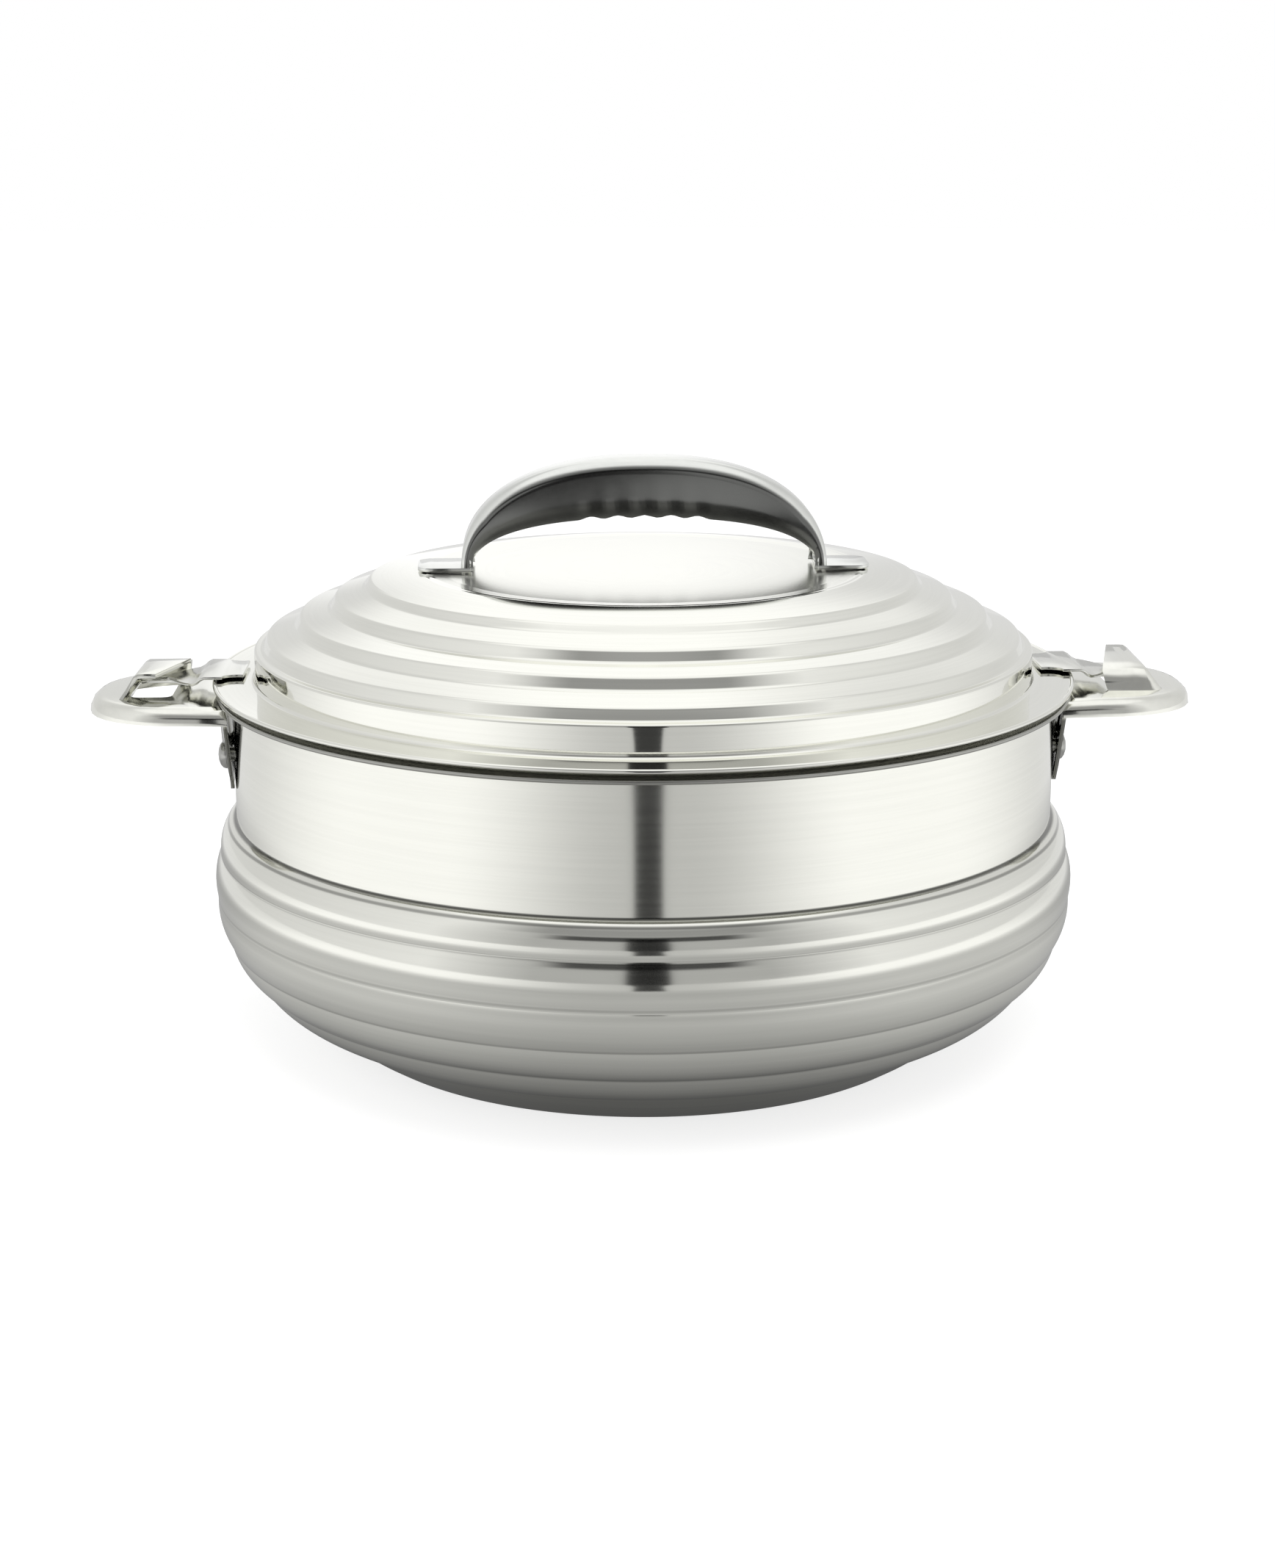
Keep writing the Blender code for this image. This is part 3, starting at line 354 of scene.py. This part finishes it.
def finished(item, body, slot, *nodes):
    """Bake a piece to a plain mesh and let it stand for its CAD nodes."""
    bpy.context.view_layer.update()
    graph = bpy.context.evaluated_depsgraph_get()
    mesh = bpy.data.meshes.new_from_object(item.evaluated_get(graph))
    item.modifiers.clear()
    item.data = mesh
    shape = bmesh.new()
    shape.from_mesh(mesh)
    bmesh.ops.recalc_face_normals(shape, faces=shape.faces)
    shape.to_mesh(mesh)
    shape.free()
    mesh.shade_smooth()
    mesh.set_sharp_from_angle(angle=SHARP_TURN)
    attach(item, body)
    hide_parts(*nodes)
    return item


def turned(node, body, slot, material, sides=PLAIN_SIDES, reach_at=lambda point: SHEET_BEND,
           shaped=lambda points: points):
    """A turned sheet piece with many sides and softened bends, in place of its CAD node."""
    points = softened(shaped(section_of(node)), reach_at)
    mesh = bpy.data.meshes.new(node + "_turned")
    mesh.from_pydata([(across, 0.0, up) for across, up in points], [], [])
    item = placed(node + "_turned", mesh)
    modifier = item.modifiers.new("turned", "NODES")
    modifier.node_group = TURNED_TREE
    modifier[TURNED_SOCKETS["sides"]] = sides
    modifier[TURNED_SOCKETS["closed"]] = 1 if points[0][0] > MERGE else 0
    modifier[TURNED_SOCKETS["finish"]] = material
    return finished(item, body, slot, node)


def belly_reach(point):
    """Ring creases and the neck stay crisp; the bulges between them are round."""
    crease = min(math.dist(point, ring[:2]) for ring in BELLY_RINGS)
    return CREASE_BEND if crease < 2 * CREASE_BEND else RING_BEND


def ringed(points):
    """The shell's section with its outer rings as full arcs between their creases."""
    run = [BELLY_RINGS[0][:2]]
    for (across, up, _), (next_across, next_up, bulge) in zip(BELLY_RINGS, BELLY_RINGS[1:]):
        start = Vector((across, up))
        end = Vector((next_across, next_up))
        along = (end - start).normalized()
        outwards = Vector((-along.y, along.x))
        for step in range(1, CURVE_STEPS + 1):
            share = step / CURVE_STEPS
            run.append(tuple(start.lerp(end, share) + outwards * bulge * 4 * share * (1.0 - share)))
    first, last = [min(range(len(points)), key=lambda index: math.dist(points[index], ring[:2]))
                   for ring in (BELLY_RINGS[0], BELLY_RINGS[-1])]
    if first > last:
        first, last = last, first
        run.reverse()
    return points[:first] + run + points[last + 1:]


def dished(points):
    """The lid's section with a lightly pressed groove and a shallow dish inside it."""
    top = max(up for across, up in points)
    disc = []
    for step in range(1, CURVE_STEPS):
        across = DISC_RADIUS * step / CURVE_STEPS
        disc.append((across, top - DISC_DISH * (1.0 - (across / DISC_RADIUS) ** 2)))
    shaped = []
    for across, up in points:
        if top - up < LID_SHEET:
            up = top - (top - up) * GROOVE_SHARE
        if across < MERGE:
            up -= DISC_DISH
        shaped.append((across, up))
    if shaped[0][1] > shaped[-1][1]:
        return shaped[:1] + disc + shaped[1:]
    return shaped[:-1] + disc[::-1] + shaped[-1:]


def lowered(points):
    """The foam's section with its top under the dish."""
    top = max(up for across, up in points)
    return [(across, up - DISC_DISH if top - up < LID_SHEET else up) for across, up in points]


def eased(value):
    """Smooth step from 0 to 1."""
    value = min(1.0, max(0.0, value))
    return value * value * (3.0 - 2.0 * value)


def shaped_handle(place):
    """A side handle's hood with a sloping outer end and a slanting mouth, and its flange off the neck."""
    side = math.copysign(1.0, place.x)
    if place.z > WING_TOP + MERGE:
        out = min(1.0, max(0.0, (abs(place.x) - HOOD_INNER) / HOOD_LENGTH))
        mouth = (side * place.y / HOOD_HALF_WIDTH + 1.0) / 2.0
        height = min(1.0, (place.z - WING_TOP) / HOOD_RISE)
        place.x += side * height * (1.0 - out) * (mouth * (HOOD_CUT + HOOD_OVERLAP) - HOOD_OVERLAP)
        place.x -= side * height * out * HOOD_SLOPE
        place.z = WING_TOP + (place.z - WING_TOP) * HOOD_LIFT_SHARE
        return
    radius = math.hypot(place.x, place.y)
    near = 1.0 - min(1.0, max(0.0, (radius - FLANGE_RADIUS) / FLANGE_FADE))
    stand = FLANGE_STAND * near * eased((place.z - FLANGE_FOOT) / FLANGE_SPAN)
    place.x *= (radius + stand) / radius
    place.y *= (radius + stand) / radius


def slimmer_tab(place):
    """A lock tab that is a little narrower."""
    place.y *= TAB_WIDTH_SHARE


def ease_edges(item):
    ease = item.modifiers.new("eased_edges", "BEVEL")
    ease.width = EDGE_EASE
    ease.segments = EDGE_STEPS
    ease.angle_limit = SHARP_TURN


def folded(node, body, slot, material, shaped=lambda place: None):
    """A bent piece from its CAD mesh, reshaped by shaped, with closed seams and eased edges."""
    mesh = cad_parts[node].data.copy()
    shape = bmesh.new()
    shape.from_mesh(mesh)
    bmesh.ops.remove_doubles(shape, verts=shape.verts, dist=MERGE)
    for vert in shape.verts:
        shaped(vert.co)
    flat = [edge for edge in shape.edges if edge.is_manifold and edge.calc_face_angle() < FLAT_TURN]
    bmesh.ops.dissolve_edges(shape, edges=flat, use_verts=False)
    shape.to_mesh(mesh)
    shape.free()
    mesh.materials.clear()
    mesh.materials.append(material)
    item = placed(node + "_folded", mesh)
    ease_edges(item)
    return finished(item, body, slot, node)


def arch_section(half, depth):
    """Across one station of the arch: two flanges, rounded shoulders and a flat crown."""
    side = [(half - ARCH_LEAN, depth), (half - ARCH_LEAN / 2, (depth + ARCH_SHOULDER) / 2)]
    reach = min(ARCH_SHOULDER, depth / 2)
    for step in range(CURVE_STEPS + 1):
        turn = math.pi / 2 * step / CURVE_STEPS
        side.append((half - reach * (1.0 - math.cos(turn)), reach * (1.0 - math.sin(turn))))
    left = [(-across, down) for across, down in side]
    return left + side[::-1]


def arch_rows(seat):
    """The arch's sections from the right foot over the crown to the left foot."""
    rows = []
    for index in range(ARCH_STATIONS + 1):
        turn = math.pi * index / ARCH_STATIONS
        side = math.copysign(1.0, math.cos(turn))
        cosine = abs(math.cos(turn))
        sine = max(0.0, math.sin(turn))
        outer = Vector((side * ARCH_HALF_SPAN * cosine ** (2 / ARCH_POWER),
                        ARCH_HEIGHT * sine ** (2 / ARCH_POWER)))
        inner = Vector((side * ARCH_INNER_HALF_SPAN * cosine ** (2 / ARCH_INNER_POWER),
                        ARCH_INNER_HEIGHT * sine ** (2 / ARCH_INNER_POWER)))
        along = (inner - outer).normalized()
        foot_share = (abs(outer.x) / ARCH_HALF_SPAN) ** 4
        half = ARCH_HALF_DEPTH + (ARCH_FOOT_HALF_DEPTH - ARCH_HALF_DEPTH) * foot_share
        depth = (inner - outer).length
        scallop = 0.0
        if abs(inner.x) < SCALLOP_REACH:
            wave = math.tau * (inner.x + SCALLOP_REACH) / SCALLOP_PITCH
            scallop = SCALLOP_DEPTH / 2 * (1.0 - math.cos(wave))
        row = []
        for across, down in arch_section(half, depth):
            point = outer + along * (down - scallop if down == depth else down)
            row.append((point.x, across, seat + point.y))
        rows.append(row)
    return rows


def foot_outline(side, seat):
    """Rounded foot plate that runs outwards from a leg."""
    start = side * ARCH_INNER_HALF_SPAN
    end = side * (ARCH_HALF_SPAN + ARCH_FOOT_LENGTH)
    half = ARCH_FOOT_HALF_DEPTH
    outline = [(start, -half)]
    for corner in (-1.0, 1.0):
        for step in range(CURVE_STEPS + 1):
            share = step / CURVE_STEPS
            turn = math.pi / 2 * (share if corner < 0 else 1.0 - share)
            outline.append((end - side * ARCH_FOOT_CORNER * (1.0 - math.sin(turn)),
                            corner * (half - ARCH_FOOT_CORNER * (1.0 - math.cos(turn)))))
    outline.append((start, half))
    if side < 0:
        outline.reverse()
    return [(x, y, seat + ARCH_SHEET) for x, y in outline]


def arched_handle(material):
    """The lid's handle in fine steps, in place of its CAD node."""
    seat = min(vert.co.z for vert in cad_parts["lid_handle"].data.vertices)
    rows = arch_rows(seat)
    points = [point for row in rows for point in row]
    width = len(rows[0])
    faces = []
    for row in range(len(rows) - 1):
        for column in range(width - 1):
            corner = row * width + column
            faces.append((corner, corner + 1, corner + width + 1, corner + width))
    for side in (1.0, -1.0):
        outline = foot_outline(side, seat)
        faces.append(tuple(range(len(points), len(points) + len(outline))))
        points += outline
    mesh = bpy.data.meshes.new("lid_handle_arched")
    mesh.from_pydata(points, [], faces)
    mesh.materials.append(material)
    item = placed("lid_handle_arched", mesh)
    sheet = item.modifiers.new("sheet", "SOLIDIFY")
    sheet.thickness = ARCH_SHEET
    sheet.offset = -1.0
    ease_edges(item)
    return finished(item, "lid", "polished_steel", "lid_handle")


def object_place(n):
    """Outputs with a point's own X, Y and Z."""
    return n.add("ShaderNodeSeparateXYZ", {0: n.add("ShaderNodeTexCoord").outputs["Object"]}).outputs


def distance_out(n, place):
    """Distance from the pot's axis."""
    squares = n.math("ADD", n.math("MULTIPLY", place["X"], place["X"]),
                     n.math("MULTIPLY", place["Y"], place["Y"]))
    return n.math("POWER", squares, 0.5)


def hump(n, value, centre, half, edge):
    """1 within half of the centre, fading to 0 over the edge."""
    away = n.math("ABSOLUTE", n.math("SUBTRACT", value, centre))
    return n.fade(away, half, half + edge, 1.0, 0.0)


def darker(n, level, where, share):
    """The level made darker by the share where the mask is 1."""
    return n.math("MULTIPLY", level, n.math("MULTIPLY_ADD", where, -share, 1.0))


def turned_lines_group():
    """Fine lines round the pot's axis, as turning and polishing leave them."""
    group = bpy.data.node_groups.new("turned_lines", "ShaderNodeTree")
    density = group.interface.new_socket("Lines per Metre", in_out="INPUT", socket_type="NodeSocketFloat")
    density.default_value = 900.0
    length = group.interface.new_socket("Turns", in_out="INPUT", socket_type="NodeSocketFloat")
    length.default_value = 1.5
    group.interface.new_socket("Line", in_out="OUTPUT", socket_type="NodeSocketFloat")
    group.interface.new_socket("Cloud", in_out="OUTPUT", socket_type="NodeSocketFloat")
    n = Nodes(group)
    given = n.add("NodeGroupInput")
    place = object_place(n)
    turn = n.math("ARCTAN2", place["Y"], place["X"])
    side = n.math("ABSOLUTE", turn)
    lines = n.add("ShaderNodeCombineXYZ", {
        "X": n.math("MULTIPLY", distance_out(n, place), given.outputs["Lines per Metre"]),
        "Y": n.math("MULTIPLY", side, given.outputs["Turns"]),
        "Z": n.math("MULTIPLY", place["Z"], given.outputs["Lines per Metre"]),
    })
    fine = n.add("ShaderNodeTexNoise", {
        "Vector": lines.outputs[0], "Scale": 1.0, "Detail": 5.0, "Roughness": 0.62,
    })
    cloud = n.add("ShaderNodeTexNoise", {
        "Vector": n.add("ShaderNodeTexCoord").outputs["Object"], "Scale": 14.0, "Detail": 3.0,
    })
    n.add("NodeGroupOutput", {"Line": fine.outputs["Fac"], "Cloud": cloud.outputs["Fac"]})
    return group


def new_material(name):
    material = bpy.data.materials.new(name)
    material.use_nodes = True
    return material, Nodes(material.node_tree), material.node_tree.nodes["Principled BSDF"]


# Painted shade: the colour scaled down by a share
def painted_shade_on(n, colour, share):
    return n.add("ShaderNodeVectorMath", {0: colour, "Scale": share}, operation="SCALE").outputs["Vector"]


def painted_band_shade(n, bands):
    """Painted shade in the steel's creases and joints: (coordinate, centre, half, edge, share) bands, 1
    outside.
    """
    place = object_place(n)
    measured = {"up": place["Z"], "across": distance_out(n, place)}
    shade = 1.0
    for coordinate, centre, half, edge, share in bands:
        band = hump(n, measured[coordinate], centre, half, edge)
        shade = n.math("MULTIPLY", shade, n.math("MULTIPLY_ADD", band, share - 1.0, 1.0))
    return shade


def painted_flank_shade(n, share):
    """Painted shade on the arch's upright flanks, darker where they face sideways; its feet stay bright."""
    facing = n.add("ShaderNodeSeparateXYZ", {0: n.add("ShaderNodeTexCoord").outputs["Normal"]})
    flat = n.fade(n.math("ABSOLUTE", facing.outputs["Y"]), *FLANK_TURN, 1.0, share)
    foot = n.fade(object_place(n)["Z"], ARCH_FOOT_TOP, ARCH_FOOT_TOP + ARCH_FOOT_FADE, 1.0, 0.0)
    return n.math("MAXIMUM", flat, foot)


def steel(name, colour, roughness, spread, line_height, lines, bands=(), painted_flank_share=None, satin_radius=None):
    """Steel with turned lines in its roughness, tone and relief, and painted shade that darkens its creases,
    bands or flanks.
    """
    material, n, shader = new_material(name)
    pattern = n.add("ShaderNodeGroup", node_tree=LINES_GROUP)
    pattern.inputs["Lines per Metre"].default_value = lines
    line = pattern.outputs["Line"]
    cloud = n.math("MULTIPLY", pattern.outputs["Cloud"], spread * CLOUD_SHARE)
    rough = n.math("ADD", n.math("MULTIPLY", line, spread), cloud)
    rough = n.math("ADD", rough, roughness - 0.75 * spread, clamp=True)
    if satin_radius is not None:
        out = distance_out(n, object_place(n))
        rough = n.math("ADD", rough, n.fade(out, satin_radius - SATIN_EDGE, satin_radius, SATIN_LIFT, 0.0))
    tone = n.add("ShaderNodeMix", {"Factor": n.fade(line, 0.35, 0.65)}, data_type="RGBA")
    tone.inputs["A"].default_value = (*[LINE_TONE_SHARE * value for value in colour], 1.0)
    tone.inputs["B"].default_value = (*colour, 1.0)
    result = tone.outputs["Result"]
    # Painted shade: bands and flanks darken the colour where shade falls
    if bands:
        result = painted_shade_on(n, result, painted_band_shade(n, bands))
    if painted_flank_share is not None:
        result = painted_shade_on(n, result, painted_flank_shade(n, painted_flank_share))
    bump = n.add("ShaderNodeBump", {"Height": line, "Strength": line_height, "Distance": LINE_RELIEF})
    n.feed(shader, {
        "Base Color": result, "Roughness": rough, "Normal": bump.outputs["Normal"], "Metallic": 1.0,
    })
    return material


def polished_steel():
    return steel("polished_steel", (0.93, 0.93, 0.87), 0.06, 0.03, 0.05, 900.0, satin_radius=SATIN_RADIUS)


def brushed_steel():
    # Painted shade: darker bands at the belly's creases and the neck foot, where shade falls
    creases = [("up", up, CREASE_HALF, CREASE_EDGE, share)
               for (across, up, bulge), share in zip(BELLY_RINGS, CREASE_SHADE_SHARES)]
    return steel("brushed_steel", (0.90, 0.90, 0.84), 0.10, 0.05, 0.12, 700.0, bands=creases)


def bowl_steel():
    # Painted shade: a darker ring round the bead at 139 mm, in the gap between the lid's brim and the pot's
    # rim
    bead_shade = ("across", 139.0 * MM, 2.0 * MM, 1.0 * MM, 0.55)
    return steel("bowl_steel", (0.80, 0.80, 0.75), 0.26, 0.12, 0.3, 600.0, bands=(bead_shade,))


def tab_steel():
    return steel("lock_tab_steel", (0.80, 0.80, 0.76), 0.2, 0.04, 0.04, 400.0)


def side_handle_steel():
    # Painted shade: a darker band on the handle's flange round 96 mm up, where it stands off the neck
    flange = ("up", 96.0 * MM, 11.0 * MM, 1.5 * MM, 0.3)
    return steel("side_handle_steel", (0.90, 0.90, 0.84), 0.12, 0.03, 0.04, 400.0, bands=(flange,))


def rivet_steel():
    return steel("rivet_steel", (0.45, 0.45, 0.43), 0.2, 0.05, 0.05, 400.0)


def arch_steel():
    # Painted shade: the arch's sideways flanks keep only this share of colour, in place of a dark reflection
    return steel("arch_handle_steel", (0.82, 0.83, 0.80), 0.14, 0.04, 0.04, 400.0, painted_flank_share=0.36)


def foam_material():
    material, n, shader = new_material("rigid_foam")
    place = n.add("ShaderNodeTexCoord").outputs["Object"]
    cells = n.add("ShaderNodeTexVoronoi", {"Vector": place, "Scale": 900.0})
    tone = n.ramp(cells.outputs["Distance"], ((0.0, 0.0), (0.7, 1.0)))
    mixed = n.add("ShaderNodeMix", {"Factor": tone}, data_type="RGBA")
    mixed.inputs["A"].default_value = (0.62, 0.52, 0.30, 1.0)
    mixed.inputs["B"].default_value = (0.86, 0.78, 0.52, 1.0)
    bump = n.add("ShaderNodeBump", {"Height": cells.outputs["Distance"], "Distance": 0.2 * MM})
    n.feed(shader, {"Base Color": mixed.outputs["Result"], "Normal": bump.outputs["Normal"], "Roughness": 0.9})
    return material


def black_plastic():
    material, n, shader = new_material("black_plastic")
    place = n.add("ShaderNodeTexCoord").outputs["Object"]
    grain = n.add("ShaderNodeTexNoise", {"Vector": place, "Scale": 700.0, "Detail": 4.0})
    rough = n.fade(grain.outputs["Fac"], 0.3, 0.7, 0.38, 0.52)
    bump = n.add("ShaderNodeBump", {"Height": grain.outputs["Fac"], "Distance": 0.05 * MM, "Strength": 0.4})
    tone = n.ramp(grain.outputs["Fac"], ((0.3, 0.045), (0.7, 0.06)))
    n.feed(shader, {"Base Color": tone, "Roughness": rough, "Normal": bump.outputs["Normal"]})
    return material


def round_about(n, x, y):
    """Turn about the pot in degrees: 0 towards the front, 90 to the right."""
    return n.math("MULTIPLY", n.math("ARCTAN2", x, n.math("MULTIPLY", y, -1.0)), 180.0 / math.pi)


def studio_world():
    """Plain white light; the steel sees a white room, grey in front, with one dark upright."""
    world = bpy.data.worlds.new("studio")
    bpy.context.scene.world = world
    world.use_nodes = True
    tree = world.node_tree
    tree.nodes.clear()
    n = Nodes(tree)
    place = n.add("ShaderNodeSeparateXYZ", {0: n.add("ShaderNodeTexCoord").outputs["Generated"]})
    height = n.math("MULTIPLY_ADD", place.outputs["Z"], 0.5, 0.5)
    turn = round_about(n, place.outputs["X"], place.outputs["Y"])
    straight = n.math("ABSOLUTE", turn)
    level = n.ramp(n.math("DIVIDE", straight, 180.0), WALL_TURN_SHARES)
    upright = n.math("MULTIPLY", hump(n, turn, UPRIGHT_TURN, UPRIGHT_HALF, UPRIGHT_EDGE),
                     n.fade(height, *UPRIGHT_TOP, 1.0, 0.0))
    level = darker(n, level, upright, UPRIGHT_DARK)
    for half, edge, centre, height_half, height_edge, share in FRONT_PATCHES:
        patch = n.math("MULTIPLY", hump(n, turn, UPRIGHT_TURN, half, edge),
                       hump(n, height, centre, height_half, height_edge))
        level = darker(n, level, patch, share)
    behind = n.add("ShaderNodeMix", {
        "Factor": n.fade(height, *BEHIND_HEIGHT),
        "A": n.fade(straight, *BEHIND_LOW),
        "B": n.fade(straight, *BEHIND_HIGH),
    })
    above = n.math("MULTIPLY", n.fade(height, *CEILING_HEIGHT), CEILING_SHARE)
    white = n.math("MAXIMUM", behind.outputs["Result"], above)
    room = n.add("ShaderNodeMix", {"Factor": white, "A": level, "B": BACK_LEVEL})
    path = n.add("ShaderNodeLightPath")
    seen = n.add("ShaderNodeMix", {
        "Factor": path.outputs["Is Glossy Ray"], "A": DAYLIGHT_LEVEL, "B": room.outputs["Result"],
    })
    shown = n.add("ShaderNodeMix", {
        "Factor": path.outputs["Is Camera Ray"], "A": seen.outputs["Result"], "B": 1.0,
    })
    light = n.add("ShaderNodeBackground", {
        "Color": (1.0, 1.0, 1.0, 1.0), "Strength": shown.outputs["Result"],
    })
    n.add("ShaderNodeOutputWorld", {"Surface": light.outputs[0]})


def painted_floor_glow(n):
    """How bright the floor glows to the steel, with painted shade near the pot and the upright's dark stripe
    as a painted reflection.
    """
    place = object_place(n)
    away = distance_out(n, place)
    turn = round_about(n, place["X"], place["Y"])
    aside = n.math("ABSOLUTE", turn)
    lift = n.math("MULTIPLY", n.fade(aside, *FLOOR_SIDE_TURN, 0.0, FLOOR_SIDE_LIFT),
                  n.fade(away, *FLOOR_SIDE_AWAY))
    level = n.math("MULTIPLY", n.math("ADD", lift, FLOOR_FRONT_LEVEL), n.ramp(away, FLOOR_NEAR_SHARES))
    level = n.math("MULTIPLY", level, n.fade(aside, *FLOOR_BACK_TURN, 1.0, FLOOR_BACK_SHARE))
    sideways = n.math("ABSOLUTE", n.math("SUBTRACT", turn, UPRIGHT_TURN))
    beyond = n.math("SUBTRACT", sideways, n.fade(away, *FLOOR_UPRIGHT_HALF))
    upright = n.math("MULTIPLY", n.fade(beyond, 0.0, FLOOR_UPRIGHT_EDGE, 1.0, 0.0),
                     n.fade(away, *FLOOR_UPRIGHT_START))
    return darker(n, level, upright, FLOOR_UPRIGHT_DARK)


def studio_floor():
    """Pale floor that keeps the pot's shadow; to the steel it is a soft pale table that glows, with painted
    shade near the pot and a painted reflection of the upright.
    """
    bpy.ops.mesh.primitive_circle_add(vertices=64, radius=FLOOR_RADIUS, fill_type="NGON")
    floor = bpy.context.object
    floor.name = "floor"
    material = bpy.data.materials.new("pale_floor")
    material.use_nodes = True
    tree = material.node_tree
    tree.nodes.clear()
    n = Nodes(tree)
    pale = n.add("ShaderNodeBsdfDiffuse", {"Color": (FLOOR_TONE, FLOOR_TONE, FLOOR_TONE, 1.0)})
    glow = n.add("ShaderNodeEmission", {"Strength": FLOOR_GLOW})
    lit = n.add("ShaderNodeAddShader", {0: pale.outputs[0], 1: glow.outputs[0]})
    path = n.add("ShaderNodeLightPath")
    base = n.add("ShaderNodeMixShader", {
        0: path.outputs["Is Camera Ray"], 1: pale.outputs[0], 2: lit.outputs[0],
    })
    # Painted shade and reflection: to glossy rays the floor glows, darker near the pot and along the upright's
    # stripe
    seen = n.add("ShaderNodeEmission", {"Strength": painted_floor_glow(n)})
    both = n.add("ShaderNodeMixShader", {
        0: path.outputs["Is Glossy Ray"], 1: base.outputs[0], 2: seen.outputs[0],
    })
    n.add("ShaderNodeOutputMaterial", {"Surface": both.outputs[0]})
    floor.data.materials.append(material)


def soft_lamp(name, location, size, power):
    lamp = bpy.data.lights.new(name, "AREA")
    lamp.energy = power
    lamp.size = size
    item = placed(name, lamp)
    item.location = location
    item.rotation_mode = "QUATERNION"
    item.rotation_quaternion = (-Vector(location)).to_track_quat("-Z", "Y")
    item.visible_glossy = False


def pot():
    """Shell, bowl and cover."""
    turned("outer_shell", "pot", "brushed_steel", BRUSHED, FINE_SIDES, belly_reach, ringed)
    turned("inner_bowl", "pot", "brushed_steel", BOWL_STEEL, FINE_SIDES)
    turned("base_cover", "pot", "brushed_steel", BOWL_STEEL)


def lid():
    turned("lid_shell", "lid", "polished_steel", POLISHED, FINE_SIDES, lambda point: LID_BEND, dished)
    turned("lid_inner_pan", "lid", "brushed_steel", BOWL_STEEL, FINE_SIDES)


def lock_side(side):
    """One side handle with its rivets and washers, and the lid's tab that locks in it."""
    folded("side_handle_" + side, "pot", "polished_steel", SIDE_STEEL, shaped_handle)
    folded("lid_lock_tab_" + side, "lid", "polished_steel", TAB_STEEL, slimmer_tab)
    for place in ("front", "back"):
        folded("handle_rivet_" + side + "_" + place, "pot", "polished_steel", RIVET_STEEL)
        folded("rivet_washer_" + side + "_" + place, "pot", "brushed_steel", BOWL_STEEL)


def insulation():
    turned("lid_insulation", "lid", "insulating_foam", FOAM, shaped=lowered)
    turned("bowl_insulation", "pot", "insulating_foam", FOAM)


TURNED_TREE, TURNED_SOCKETS = turned_tree()
LINES_GROUP = turned_lines_group()
POLISHED = polished_steel()
BRUSHED = brushed_steel()
BOWL_STEEL = bowl_steel()
TAB_STEEL = tab_steel()
SIDE_STEEL = side_handle_steel()
RIVET_STEEL = rivet_steel()
ARCH_STEEL = arch_steel()
FOAM = foam_material()
BLACK = black_plastic()

pot()
lid()
turned("foam_plug", "pot", "black_plastic", BLACK)
for side in ("right", "left"):
    lock_side(side)
arched_handle(ARCH_STEEL)
insulation()

studio_world()
studio_floor()
for lamp in LAMPS:
    soft_lamp(*lamp)
place_camera()
bpy.context.scene.view_settings.view_transform = "Standard"
